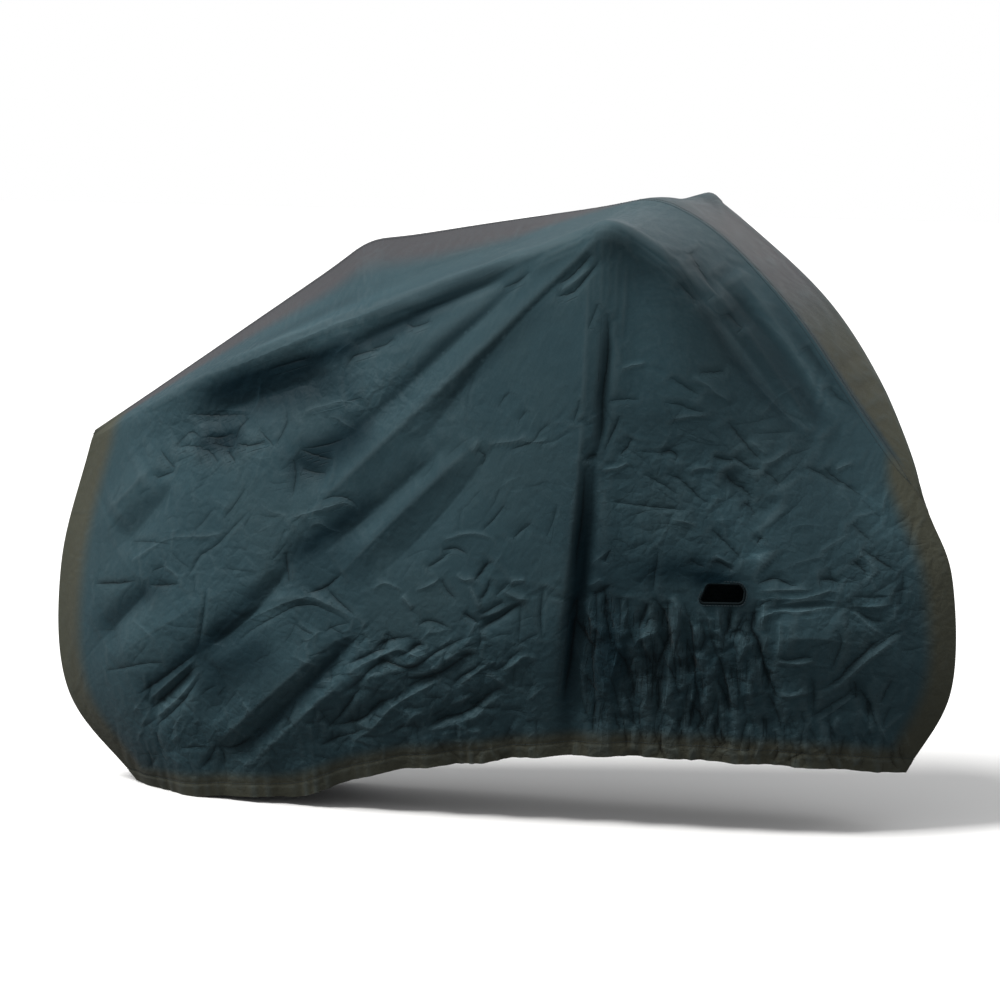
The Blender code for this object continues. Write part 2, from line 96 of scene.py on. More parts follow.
# where the cloth is pushed up from inside: a place, the reach of the push and the push
Peak = namedtuple("Peak", "name x y z reach pushX pushY pushZ")
peaks = (
    Peak("near grip", 0.302, -0.300, 1.095, 0.045, 0.000, -0.014, 0.010),
    Peak("far grip", 0.330, 0.298, 1.105, 0.030, 0.004, 0.008, 0.018),
    Peak("stem", 0.318, 0.050, 1.110, 0.085, 0.000, 0.000, 0.008),
    Peak("saddle edge", -0.225, -0.075, 0.998, 0.060, 0.000, -0.006, 0.012),
    Peak("saddle back", -0.225, 0.075, 0.998, 0.060, 0.000, 0.006, 0.012),
    Peak("hem lap", -0.345, -0.120, 0.025, 0.055, 0.000, 0.000, -0.008),
)

# soft folds: a bowed line in the side view, its half-widths and its height, all in millimetres
Fold = namedtuple("Fold", "name x0 z0 x1 z1 bow width0 width1 height")


def foldRow(name, *sizes):
    return Fold(name, *(size / 1000 for size in sizes))


nearFolds = [foldRow(*row) for row in (
    # fanning out from the near grip
    ("shoulder ridge", 210, 1064, -247, 893, -9, 20, 26, 10),
    ("shoulder ridge rear", -267, 885, -649, 728, -2, 26, 24, 8),
    ("shoulder valley", 130, 1018, -242, 850, 0, 26, 46, -27),
    ("shoulder valley rear", -235, 815, -545, 700, -4, 52, 44, -30),
    ("top facet valley", 143, 1062, -150, 980, -7, 22, 30, -7),
    ("saddle valley", 141, 1005, -245, 672, 4, 12, 24, -10),
    ("grip ridge", 262, 1055, -302, 539, 0, 12, 28, 12),
    ("grip valley", 243, 1027, -62, 697, -16, 10, 18, -9),
    ("knee valley", -30, 681, -251, 492, 3, 20, 26, -14),
    ("second ridge", 29, 688, -211, 459, -2, 18, 24, 10),
    ("second valley", 65, 679, -138, 460, 8, 18, 26, -8),
    # hanging straight down from the near grip
    ("side ridge", 260, 963, 168, 256, 19, 32, 50, 11),
    ("side valley top", 298, 912, 277, 692, 3, 9, 14, -6),
    ("side valley", 266, 679, 200, 171, 6, 14, 32, -22),
    # over the rear wheel
    ("rear ridge", -624, 613, -729, 517, 2, 24, 24, 11),
    ("rear valley", -571, 600, -704, 459, 7, 28, 32, -12),
    ("tail valley", -610, 402, -740, 283, -1, 22, 30, -14),
    ("tail swell", -424, 417, -710, 245, -7, 50, 50, 10),
    ("chain valley", -322, 466, -508, 287, 17, 22, 24, -18),
    ("fan valley", -514, 254, -645, 147, 2, 20, 24, -10),
    ("arch ridge", -483, 307, -179, 370, 60, 16, 16, 5),
    ("hollow under arch", -498, 272, -487, 158, 32, 34, 34, -5),
    ("rear skirt ridge", -233, 329, -501, 101, -3, 34, 38, 12),
    ("rear skirt valley", -172, 355, -477, 71, 2, 16, 22, -14),
    ("middle skirt ridge", -204, 266, -440, 62, -4, 26, 28, 9),
    ("star crumple", -523, 675, -438, 681, -4, 22, 22, -8),
    ("saddle dent", -320, 658, -233, 637, -15, 24, 24, -8),
    # the crumpled skirt below the pedals
    ("crank ridge", -218, 251, 26, 341, -6, 16, 16, 6),
    ("crank valley", -242, 160, 39, 316, 1, 14, 14, -7),
    ("hem crease", -75, 170, 83, 260, -2, 12, 12, -6),
    ("pedal crease", 42, 364, 130, 424, 2, 18, 18, -7),
    # from the bar to the front wheel
    ("bar valley", 400, 1030, 605, 710, 3, 11, 15, -10),
    ("bar ridge", 414, 1026, 620, 716, 3, 10, 14, 7),
    ("lamp valley", 455, 985, 648, 715, 8, 14, 24, -12),
    ("lamp ridge", 475, 985, 660, 722, 6, 10, 14, 9),
    ("fork valley", 485, 669, 568, 576, -2, 20, 22, -11),
    # gathers and pleats of the front skirt
    ("gather 1", 280, 431, 304, 177, 16, 11, 11, -6),
    ("gather 2", 369, 440, 344, 179, 20, 10, 11, -7),
    ("gather 3", 418, 436, 425, 173, 4, 10, 11, -8),
    ("gather 4", 464, 349, 484, 176, 7, 10, 10, -6),
    ("gather 5", 535, 384, 559, 182, 12, 10, 12, -8),
    ("gather 6", 633, 300, 631, 164, -2, 10, 11, -7),
    ("gather 7", 712, 270, 716, 156, 3, 10, 11, -6),
    ("wheel pleat top", 553, 417, 681, 420, 6, 18, 18, -8),
    ("wheel pleat side", 681, 420, 763, 354, 10, 18, 18, -8),
    ("wheel pleat low", 628, 210, 722, 285, -10, 18, 18, -10),
    ("wheel swell", 574, 367, 707, 351, 10, 45, 45, 12),
)]
farFolds = [foldRow(*row) for row in (
    ("rack valley", 190, 1030, -380, 720, 6, 28, 38, -15),
    ("rack ridge", 220, 1000, -330, 610, -8, 28, 42, 13),
    ("saddle valley", 240, 960, -190, 560, 6, 28, 40, -16),
    ("grip ridge", 290, 960, -20, 500, 10, 28, 45, 15),
    ("side valley", 320, 880, 240, 170, 12, 28, 44, -19),
    ("skirt ridge", -110, 450, -430, 110, 4, 40, 44, 16),
    ("skirt valley", -20, 420, -330, 90, -4, 30, 36, -18),
    ("tail valley", -480, 500, -720, 250, 8, 30, 36, -14),
    ("tail ridge", -470, 380, -640, 130, 0, 34, 38, 12),
    ("lamp valley", 450, 980, 660, 690, 10, 26, 34, -13),
    ("lamp ridge", 400, 960, 600, 620, 8, 30, 36, 10),
    ("gather 1", 410, 430, 420, 170, 8, 26, 28, -14),
    ("gather 2", 540, 400, 560, 160, 6, 26, 28, -15),
    ("gather 3", 690, 340, 690, 150, 0, 24, 26, -11),
    ("middle gather", 60, 330, 90, 130, 4, 26, 30, -11),
)]

# sharp creases of the near side, in millimetres: width, height and the side-view places that
# the line runs through
Crease = namedtuple("Crease", "name width height points")


def sidePlaces(points):
    return [(x / 1000, z / 1000) for x, z in points]


def creaseRow(name, width, height, *points):
    return Crease(name, width / 1000, height / 1000, sidePlaces(points))


nearCreases = [creaseRow(*row) for row in (
    # over the rear wheel
    ("rack fold line", 6, 2.5, (-525, 725), (-475, 730), (-430, 730)),
    ("rack fold shade", 8, -3, (-565, 715), (-490, 720), (-430, 725)),
    ("rack tuck", 6, 3, (-400, 790), (-410, 765), (-415, 740), (-425, 725)),
    ("rack tuck foot", 7, -4, (-425, 720), (-435, 710), (-445, 695), (-450, 675)),
    ("star top", 7, -3.6, (-515, 680), (-485, 680), (-455, 690)),
    ("star middle", 7, -3.6, (-500, 670), (-470, 665), (-445, 665)),
    ("star ray 1", 6, -3.4, (-525, 655), (-505, 655), (-490, 645), (-475, 630)),
    ("star ray 2", 6, -4, (-465, 660), (-455, 650), (-440, 635)),
    ("star arc", 7, -3.4, (-580, 650), (-565, 670), (-545, 685), (-520, 675)),
    ("star floor", 6, -3.5, (-580, 655), (-545, 660), (-510, 660)),
    ("star tail", 9, -4.5, (-445, 670), (-410, 670), (-375, 680)),
    ("check fold down", 6, -3, (-400, 700), (-380, 685), (-360, 670)),
    ("check fold up", 6, -3, (-360, 670), (-350, 690), (-340, 715), (-345, 735)),
    ("packing crease rear", 8, -3.5, (-320, 655), (-315, 625), (-320, 580)),
    ("knee tick 1", 6, -3.5, (-310, 670), (-275, 660), (-235, 655)),
    ("knee tick 2", 7, -3, (-305, 670), (-255, 680), (-215, 695)),
    ("knee tick 3", 6, -2.5, (-305, 635), (-275, 630), (-250, 630)),
    ("hook", 6, 3, (-255, 730), (-235, 730), (-215, 720), (-195, 710)),
    ("saddle arc", 7, 3, (-310, 735), (-260, 750), (-210, 760), (-180, 750)),
    ("saddle arc top", 6, -2.5, (-220, 760), (-200, 765), (-180, 770)),
    ("knee arc", 7, 3.5, (-335, 540), (-290, 555), (-245, 570), (-210, 580), (-180, 565)),
    ("knee arc top", 6, -3, (-260, 580), (-230, 590), (-200, 585), (-185, 570)),
    ("knee hook", 6, 2.5, (-285, 530), (-265, 540), (-240, 530), (-220, 525)),
    ("chain tick", 7, -4.5, (-215, 455), (-230, 440), (-250, 425), (-290, 410)),
    ("chain tick 2", 6, -3.5, (-250, 425), (-230, 405), (-210, 390), (-190, 375)),
    ("arch crest", 6, 2.4, (-460, 310), (-405, 355), (-365, 375), (-320, 395), (-275, 405), (-245, 395),
     (-210, 380), (-180, 370)),
    ("arch shade", 6, -3, (-440, 305), (-395, 340), (-350, 365), (-310, 385), (-275, 390), (-240, 380),
     (-205, 365)),
    ("chain drop", 8, -4, (-325, 420), (-330, 450), (-330, 485)),
    ("tail line", 5, -2.5, (-490, 410), (-495, 370), (-505, 325), (-515, 290)),
    ("axle crease", 7, -5, (-760, 385), (-700, 395), (-645, 405)),
    ("axle crease 2", 7, -4, (-620, 400), (-580, 405), (-545, 410)),
    ("long hair line", 5, -2.5, (-545, 410), (-525, 435), (-510, 460), (-475, 485), (-445, 515),
     (-405, 555)),
    ("hair line 2", 5, 2, (-605, 480), (-550, 495), (-500, 500), (-455, 510)),
    ("hair line 3", 5, 2, (-665, 440), (-630, 460), (-605, 475), (-575, 490)),
    ("hair line 4", 5, -2, (-670, 475), (-620, 480), (-570, 480)),
    ("hair line 5", 6, -2.5, (-615, 425), (-595, 435), (-580, 440)),
    ("hair line 6", 6, 2.5, (-585, 440), (-565, 430), (-550, 420)),
    ("hair line 7", 5, -2, (-525, 505), (-500, 530), (-480, 555)),
    ("hair line 8", 5, -2, (-465, 530), (-435, 565), (-415, 595)),
    ("hub line", 6, -3, (-730, 225), (-675, 240), (-620, 255), (-580, 260)),
    ("fan shade 1", 9, -5, (-515, 285), (-575, 240), (-650, 190)),
    ("fan shade 2", 9, -6, (-515, 260), (-570, 210), (-630, 160)),
    ("fan shade 3", 9, -5, (-510, 240), (-550, 190), (-625, 125)),
    ("fan crest 1", 8, 4, (-515, 275), (-570, 230), (-630, 180)),
    ("fan crest 2", 8, 4, (-510, 250), (-560, 195), (-620, 145)),
    ("hem star 1", 7, -4.5, (-485, 120), (-505, 85), (-535, 50)),
    ("hem star 2", 6, -3.5, (-490, 110), (-480, 90), (-480, 65)),
    ("hem star 3", 7, -4.5, (-490, 105), (-455, 105), (-415, 130)),
    ("hem star 4", 6, -3, (-570, 95), (-535, 100), (-500, 105)),
    ("skirt tick", 6, 3, (-430, 205), (-415, 190), (-400, 175)),
    ("tail tuck", 6, -3.5, (-610, 650), (-590, 630), (-570, 615)),
    ("tail tuck foot", 7, -4, (-570, 615), (-590, 605), (-620, 595)),
    # along the shoulder
    ("shoulder crest", 6, 2.5, (-520, 785), (-420, 820), (-315, 865), (-220, 905), (-115, 945),
     (-70, 965)),
    ("shoulder line 2", 6, 2, (-525, 795), (-460, 820), (-385, 850), (-300, 885), (-230, 915),
     (-180, 935)),
    ("shoulder line 3", 6, -2.5, (-390, 805), (-345, 820), (-295, 835)),
    ("shoulder line 4", 6, 2, (-60, 975), (10, 1000), (80, 1020), (155, 1040)),
    ("seat line 1", 6, -3.5, (-225, 820), (-210, 840), (-185, 850), (-155, 855)),
    ("seat line 2", 6, -3.5, (-180, 855), (-150, 865), (-125, 880)),
    ("seat line 3", 6, -3.5, (-110, 905), (-90, 900), (-70, 905), (-50, 915)),
    ("seat line 4", 6, 2.5, (-250, 840), (-230, 855), (-210, 870)),
    ("thigh line", 6, -3, (85, 975), (115, 985), (135, 1000), (145, 1010)),
    ("grip line 1", 6, -4, (200, 985), (230, 1005), (255, 1030), (270, 1045)),
    ("grip line 2", 6, -4, (195, 965), (230, 975), (255, 1000), (280, 1030)),
    ("grip line 3", 6, 3, (205, 975), (235, 995), (265, 1020)),
    ("grip line 4", 5, -2.5, (260, 910), (270, 935), (280, 960)),
    # over the frame
    ("frame line 1", 5, -2, (120, 740), (135, 755), (145, 770)),
    ("frame line 2", 5, -2.5, (105, 690), (130, 700), (155, 710), (170, 730), (190, 745)),
    ("frame line 3", 5, 2, (65, 700), (95, 705), (120, 710), (145, 720)),
    ("frame line 4", 5, 2, (130, 710), (160, 710), (185, 715)),
    ("frame line 5", 5, -2, (230, 745), (240, 770), (245, 790)),
    ("frame line 6", 5, -2, (55, 545), (80, 570), (100, 595)),
    ("frame line 7", 5, -2.5, (110, 530), (130, 550), (150, 565)),
    ("frame line 8", 5, -2, (175, 535), (190, 570), (200, 605)),
    ("frame line 9", 5, -2, (85, 765), (100, 785), (115, 800)),
    ("frame line 10", 5, 2, (-25, 520), (10, 535), (45, 540), (85, 530)),
    ("frame spoke 1", 5, 2.5, (35, 685), (45, 695), (50, 710)),
    ("frame spoke 2", 6, -3, (45, 690), (60, 680), (50, 655)),
    # the crumpled skirt below the pedals
    ("skirt lens top", 6, -3.5, (-160, 315), (-140, 330), (-110, 340), (-80, 345)),
    ("skirt crease 1", 7, -5, (-210, 285), (-180, 300), (-150, 315), (-125, 320)),
    ("skirt crease 2", 7, -5, (-115, 305), (-85, 320), (-70, 330), (-55, 330)),
    ("skirt crease 3", 8, -6, (-230, 230), (-210, 240), (-185, 260), (-165, 280), (-140, 295),
     (-115, 290), (-90, 285), (-70, 295), (-45, 315), (-10, 335), (35, 355)),
    ("skirt crest 3", 8, 4, (-215, 265), (-185, 285), (-145, 305), (-105, 320), (-75, 310), (-40, 325)),
    ("skirt crease 4", 7, -5.5, (-100, 265), (-75, 265), (-40, 275), (-15, 290), (5, 305), (20, 315),
     (45, 320)),
    ("skirt crest 4", 8, 4, (-95, 275), (-60, 280), (-25, 300), (0, 320), (30, 330)),
    ("skirt crease 5", 7, -4, (-105, 245), (-75, 260), (-40, 270)),
    ("skirt crest 5", 10, 5, (-220, 135), (-175, 165), (-135, 205), (-90, 235), (-45, 260), (-5, 290)),
    ("skirt crease 6", 9, -7, (-260, 160), (-220, 170), (-195, 180), (-170, 200), (-150, 215),
     (-120, 230)),
    ("skirt crease 7", 8, -6, (-265, 155), (-235, 185), (-215, 210), (-200, 230), (-185, 245)),
    ("skirt crease 8", 8, -6, (-285, 120), (-255, 135), (-215, 150), (-185, 165)),
    ("skirt crease 9", 7, -5, (-20, 250), (5, 275), (30, 290), (50, 310)),
    ("skirt crest 9", 7, 3.5, (-10, 250), (15, 270), (35, 285), (60, 305)),
    ("skirt crease 10", 9, -8, (-75, 170), (-35, 190), (-5, 200), (25, 220), (45, 235), (65, 250),
     (85, 255)),
    ("skirt crest 10", 9, 4.5, (-45, 170), (-10, 185), (30, 205), (55, 230), (85, 245)),
    ("skirt crease 11", 6, -4, (10, 220), (40, 215), (75, 220)),
    ("hem triangle 1", 7, 3.5, (-70, 165), (-45, 175), (-25, 190)),
    ("hem triangle 2", 7, 3.5, (-25, 190), (-10, 180), (10, 170), (35, 175)),
    ("pedal tick 1", 6, 3.5, (50, 280), (65, 275), (85, 260)),
    ("pedal tick 2", 6, -4, (55, 285), (80, 295), (100, 315), (120, 330)),
    ("pedal tick 3", 7, 3.5, (75, 285), (105, 305), (125, 320), (150, 315)),
    ("pedal tick 4", 6, -3, (120, 250), (130, 260), (140, 270)),
    ("crank crest", 8, 5.5, (45, 385), (70, 395), (100, 410), (140, 430)),
    ("crank crease top", 6, -4, (45, 390), (70, 405), (95, 420)),
    ("crank crease", 7, -5.5, (45, 360), (60, 375), (85, 390), (105, 405), (130, 420)),
    ("crank spoke 1", 6, -4.5, (15, 395), (30, 385), (45, 375)),
    ("crank spoke 2", 5, 3, (30, 445), (40, 425), (50, 400)),
    ("crank spoke 3", 6, -3.5, (-25, 455), (-15, 435), (5, 415)),
    ("crank spoke 4", 7, -5, (40, 455), (55, 475), (70, 495)),
    ("crank spoke 5", 6, -4, (45, 415), (60, 435), (70, 460)),
    ("crank spoke 6", 6, 3.5, (5, 465), (20, 455), (40, 460)),
    ("crank spoke 7", 6, 3, (90, 440), (110, 430), (140, 425)),
    ("crank spoke 8", 6, 3, (105, 455), (120, 460), (140, 460)),
    ("crank spoke 9", 6, -3, (75, 425), (90, 440), (110, 455)),
    ("shin tick 1", 6, -3, (-55, 470), (-30, 485), (-5, 505)),
    ("shin tick 2", 6, 3, (-75, 430), (-50, 440), (-25, 455)),
    ("shin tick 3", 8, 4, (-100, 420), (-90, 410), (-80, 395)),
    ("shin tick 4", 6, 2.5, (-160, 425), (-135, 440), (-100, 430)),
    ("shin tick 5", 6, -3, (-25, 505), (5, 510), (30, 500)),
    ("shin tick 6", 6, -3, (-75, 365), (-50, 375), (-10, 365)),
    ("packing crease 1", 6, -2.5, (170, 455), (160, 405), (160, 350)),
    ("packing crease 2", 6, -2, (125, 420), (120, 380), (115, 335)),
    ("packing crease 3", 6, -2, (45, 375), (45, 345), (40, 320)),
    # the pleat beside the bar
    ("bar pleat top", 7, -4.5, (295, 945), (295, 875), (285, 795), (280, 730), (270, 690)),
    ("bar pleat low", 8, -4.5, (255, 680), (250, 645), (245, 590), (235, 530), (225, 465)),
    ("bar pleat step", 6, -3.5, (250, 680), (265, 690), (275, 690)),
    ("pleat line 1", 7, -5, (245, 435), (245, 390), (245, 335), (245, 275), (240, 210)),
    ("pleat line 2", 8, 5, (215, 430), (210, 380), (195, 315), (180, 235)),
    ("pleat line 3", 8, -6, (230, 445), (220, 380), (205, 310), (185, 230)),
    ("pleat line 4", 7, 3.5, (235, 355), (225, 300), (210, 240)),
    ("pleat line 5", 6, -3.5, (205, 370), (215, 405), (230, 430)),
    ("pleat tick 1", 6, 3, (240, 450), (260, 460), (275, 470)),
    ("pleat tick 2", 6, -3, (250, 435), (270, 445), (290, 460)),
    ("pleat tick 3", 6, -3.5, (280, 495), (285, 510), (295, 525)),
    ("pleat tick 4", 6, 3, (255, 490), (275, 510), (295, 525)),
    # gathers of the front skirt
    ("gather 1 cross", 6, 4.5, (280, 420), (290, 395), (300, 375), (315, 360)),
    ("gather 1 shade", 7, -4.5, (285, 355), (295, 335), (305, 315), (310, 275)),
    ("gather 1 left", 7, -4.5, (330, 335), (315, 310), (310, 270)),
    ("gather 1 crest", 7, 4, (295, 330), (280, 290), (270, 240)),
    ("gather 1 hair", 5, -3, (320, 440), (320, 405), (315, 375)),
    ("gather 2 bow", 7, 4.5, (320, 340), (335, 360), (350, 370), (370, 375)),
    ("gather 2 bow low", 6, 3, (335, 330), (350, 345), (365, 360)),
    ("gather 2 left", 7, -4, (355, 430), (345, 405), (335, 375)),
    ("gather 2 line", 8, -7, (360, 440), (375, 425), (385, 400), (385, 375), (380, 345), (365, 310),
     (360, 275)),
    ("gather 2 crest", 7, 4.5, (400, 435), (400, 395), (405, 355), (390, 310)),
    ("gather 2 hair", 6, -5, (345, 305), (345, 275), (345, 245)),
    ("gather 3 fork", 7, -5.5, (375, 330), (385, 310), (395, 285), (400, 250)),
    ("gather 3 line", 8, -7, (420, 435), (425, 410), (430, 380), (430, 340), (430, 305), (430, 265),
     (435, 230)),
    ("gather 3 crest", 7, 4.5, (405, 360), (410, 315), (410, 260)),
    ("gather 4 hair", 6, 3, (425, 340), (440, 330), (460, 325)),
    ("gather 4 line", 8, -6, (500, 435), (500, 415), (495, 390), (490, 370)),
    ("gather 4 spark 1", 6, 4.5, (475, 385), (485, 365), (490, 350)),
    ("gather 4 spark 2", 6, 3.5, (465, 365), (475, 355), (490, 345)),
    ("gather 5 line", 8, -6.5, (465, 345), (475, 330), (480, 305), (485, 275), (485, 220)),
    ("gather 5 crest", 8, 4.5, (450, 315), (465, 290), (470, 250)),
    ("gather 5 tick", 6, 4, (500, 310), (520, 315), (535, 335)),
    ("gather 5 vee 1", 6, -4, (495, 365), (505, 380), (515, 385)),
    ("gather 5 vee 2", 6, -3.5, (515, 385), (525, 370), (530, 355)),
    ("gather 6 line", 9, -8, (545, 440), (540, 415), (535, 385), (545, 360), (550, 335), (555, 305),
     (565, 275), (570, 260), (590, 255)),
    ("gather 6 crest", 8, 5, (515, 310), (525, 280), (530, 245)),
    # the flap over the front wheel
    ("flap top", 7, 5, (540, 385), (550, 405), (570, 415), (615, 415), (655, 420), (680, 420)),
    ("flap top right", 7, 4.5, (680, 420), (705, 405), (730, 380), (750, 365)),
    ("flap side", 7, -6, (755, 365), (735, 355), (715, 335), (695, 315), (680, 295), (660, 280),
     (640, 270)),
    ("flap side crest", 6, 4.5, (760, 355), (740, 340), (720, 325), (700, 305), (685, 290), (665, 270)),
    ("flap low crest", 6, 5, (575, 260), (600, 265), (635, 270)),
    ("flap fold", 6, 4.5, (570, 330), (595, 325), (615, 325), (640, 330)),
    ("flap fold shade", 6, -4, (575, 335), (595, 330), (620, 335), (640, 335)),
    ("flap dent", 9, -4, (670, 385), (680, 365), (675, 340), (670, 325), (665, 305)),
    ("flap foot crest", 7, 6, (630, 210), (650, 220), (670, 235), (690, 250), (710, 265)),
    ("flap foot shade", 6, -4, (620, 220), (645, 230), (665, 245), (690, 260), (705, 275)),
    ("flap post", 6, -3.2, (635, 295), (635, 260), (630, 220)),
    ("brow 1", 7, -5, (545, 465), (555, 470), (575, 475), (595, 465), (615, 460)),
    ("brow 1 crest", 6, 3.5, (545, 455), (580, 455), (615, 455), (635, 450)),
    ("brow 2", 7, 4, (540, 430), (560, 440), (585, 440), (615, 440), (640, 445), (660, 450),
     (685, 445)),
    ("brow 3", 6, 3.5, (580, 430), (615, 435), (655, 435), (685, 430)),
    ("brow 4", 6, -4, (640, 470), (660, 470), (680, 460)),
    ("brow 5", 6, -3.5, (545, 420), (560, 435), (575, 435)),
    ("brow 6", 6, -3, (690, 440), (720, 435), (755, 435)),
    ("brow 7", 6, 3, (690, 425), (720, 420), (760, 420)),
    ("cross line 1", 6, -3, (725, 340), (745, 355), (775, 375)),
    ("cross line 2", 6, -3, (705, 415), (730, 395), (755, 390)),
    ("front tuck 1", 8, -5.5, (705, 520), (725, 505), (745, 490), (765, 475)),
    ("front tuck 2", 8, -4.5, (695, 500), (710, 485), (720, 470)),
    ("front tuck 3", 7, 3.5, (700, 515), (720, 495), (735, 475)),
    ("front tuck 4", 6, -3, (685, 565), (705, 545), (725, 525)),
    ("hem right 1", 6, -3.4, (710, 270), (720, 245), (720, 215)),
    ("hem right 2", 7, -4.5, (760, 285), (750, 265), (740, 240)),
    ("hem right 3", 7, 4, (705, 235), (720, 210), (725, 185)),
    ("hem right 4", 6, -4, (700, 290), (705, 270), (705, 250)),
    # above the lock slot
    ("slot brow", 7, -5, (470, 510), (490, 500), (505, 490)),
    ("slot brow crest", 6, 4, (470, 520), (485, 510), (505, 500)),
    ("slot line", 7, -4, (465, 565), (485, 545), (505, 525), (520, 505)),
    ("slot line 2", 5, -2.5, (430, 510), (445, 500), (460, 495)),
    ("slot line 3", 5, -3, (375, 530), (375, 505), (370, 480), (365, 445)),
    ("slot line 4", 5, 2.5, (400, 580), (425, 575), (445, 565)),
    ("knot", 7, -4, (540, 535), (545, 540), (550, 550)),
    ("knot 2", 6, -3, (520, 610), (530, 600), (540, 585)),
    ("hump", 14, 5, (545, 520), (550, 505), (560, 495)),
    # between the bar and the front wheel
    ("lamp crest", 6, 2.5, (495, 950), (535, 900), (570, 855), (600, 810), (625, 770), (655, 730)),
    ("bar crest", 6, 2, (510, 830), (535, 795), (565, 760), (595, 725), (615, 700)),
    ("neck line 1", 7, -4, (405, 1045), (425, 1015), (445, 985), (460, 960)),
    ("neck line 2", 6, -3, (470, 940), (485, 920), (500, 900)),
    ("neck line 3", 6, -3, (410, 995), (425, 975), (440, 955)),
    ("chest line 1", 5, 2.5, (315, 845), (335, 850), (360, 855)),
    ("chest line 2", 6, -3, (395, 830), (410, 820), (430, 805), (445, 795)),
    ("chest line 3", 6, 3, (430, 830), (450, 815), (465, 800), (490, 780)),
    ("chest line 4", 5, -2.5, (440, 835), (460, 835), (480, 835)),
    ("chest line 5", 5, -2.5, (385, 785), (415, 780), (435, 770), (455, 765)),
    ("chest line 6", 5, 2.5, (400, 755), (425, 760), (455, 760)),
    ("chest line 7", 7, -4.5, (485, 750), (500, 730), (515, 710), (530, 690), (545, 675)),
    ("chest line 8", 6, 3, (520, 715), (535, 700), (550, 685)),
    ("chest line 9", 6, -4, (465, 690), (480, 685), (500, 680)),
    ("chest line 10", 6, -4.5, (495, 690), (515, 675), (530, 665), (545, 665)),
    ("chest line 11", 7, -4, (485, 665), (500, 645), (520, 630), (535, 610)),
    ("chest line 12", 5, 2.5, (540, 675), (555, 675), (570, 685), (585, 695)),
    ("chest line 13", 10, -3.5, (545, 660), (560, 650), (575, 630)),
    ("chest line 14", 5, -3, (605, 665), (630, 650), (645, 640), (665, 625)),
    ("chest line 15", 6, -4, (635, 660), (655, 640), (675, 625), (700, 605)),
    ("chest line 16", 5, 2.5, (650, 655), (665, 660), (675, 665)),
    ("chest line 17", 5, -3, (285, 695), (295, 720), (305, 740), (315, 765)),
    ("chest line 18", 6, -3.5, (310, 690), (325, 705), (335, 725)),
    ("chest line 19", 5, 3, (280, 665), (305, 670), (330, 680)),
    ("chest line 20", 5, -2, (290, 785), (315, 790), (350, 790)),
    ("chest line 21", 6, -4, (380, 695), (395, 700), (410, 690), (405, 680)),
    ("chest line 22", 6, -4, (390, 660), (415, 650), (430, 635), (450, 615), (465, 605)),
    ("chest line 23", 5, -3, (350, 660), (370, 650), (395, 635), (415, 620)),
    ("chest line 24", 5, -2.5, (285, 610), (330, 605), (380, 600), (435, 595)),
    ("chest line 25", 5, 2.5, (430, 665), (450, 670), (470, 665)),
    ("seam pleat 1", 6, -4, (625, 800), (640, 780), (665, 760), (685, 740)),
    ("seam pleat 2", 6, 3, (630, 800), (650, 780), (670, 755)),
    ("seam pleat 3", 6, -3, (585, 870), (605, 840), (625, 810)),
)]

# small creases strewn over a stretch of the side view, all much the same way, in metres and degrees
Strew = namedtuple("Strew", "name x0 x1 z0 z1 count angle spread length height")
nearStrews = (
    Strew("skirt below the pedals", -0.30, 0.14, 0.13, 0.36, 200, 30, 28, 0.040, 0.0014),
    Strew("front skirt", 0.22, 0.58, 0.15, 0.42, 220, 88, 13, 0.058, 0.0034),
    Strew("flap hem", 0.56, 0.78, 0.13, 0.23, 44, 86, 20, 0.046, 0.0026),
    Strew("flap", 0.52, 0.80, 0.22, 0.44, 26, 5, 45, 0.050, 0.0006),
    Strew("front chest", 0.27, 0.62, 0.44, 0.78, 56, -20, 45, 0.056, 0.0004),
    Strew("front edge", 0.66, 0.82, 0.25, 0.60, 40, -35, 40, 0.045, 0.0009),
    Strew("middle", -0.10, 0.20, 0.36, 0.80, 28, 45, 22, 0.064, 0.0003),
    Strew("over the rear wheel", -0.72, -0.30, 0.25, 0.66, 54, 25, 40, 0.056, 0.0005),
    Strew("rear hem", -0.66, -0.28, 0.05, 0.22, 80, 50, 35, 0.040, 0.0012),
    Strew("hem", -0.30, 0.78, 0.11, 0.19, 130, 82, 25, 0.034, 0.0015),
)
farStrews = (
    Strew("skirt", -0.60, 0.70, 0.13, 0.42, 190, 70, 40, 0.065, 0.0026),
    Strew("chest", -0.60, 0.62, 0.42, 0.85, 110, 35, 45, 0.060, 0.0018),
    Strew("hem", -0.62, 0.78, 0.04, 0.20, 110, 82, 25, 0.045, 0.0024),
)

# painted shade in the hollows and painted highlights along the crests: width in millimetres, strength as
# a share of the colour (darker below zero, lighter above), and the places in millimetres that the shade
# follows
Shade = namedtuple("Shade", "name width strength points")
shadeLimits = (-0.72, 0.55)


def shadeRow(name, width, strength, *points):
    return Shade(name, width / 1000, strength, sidePlaces(points))


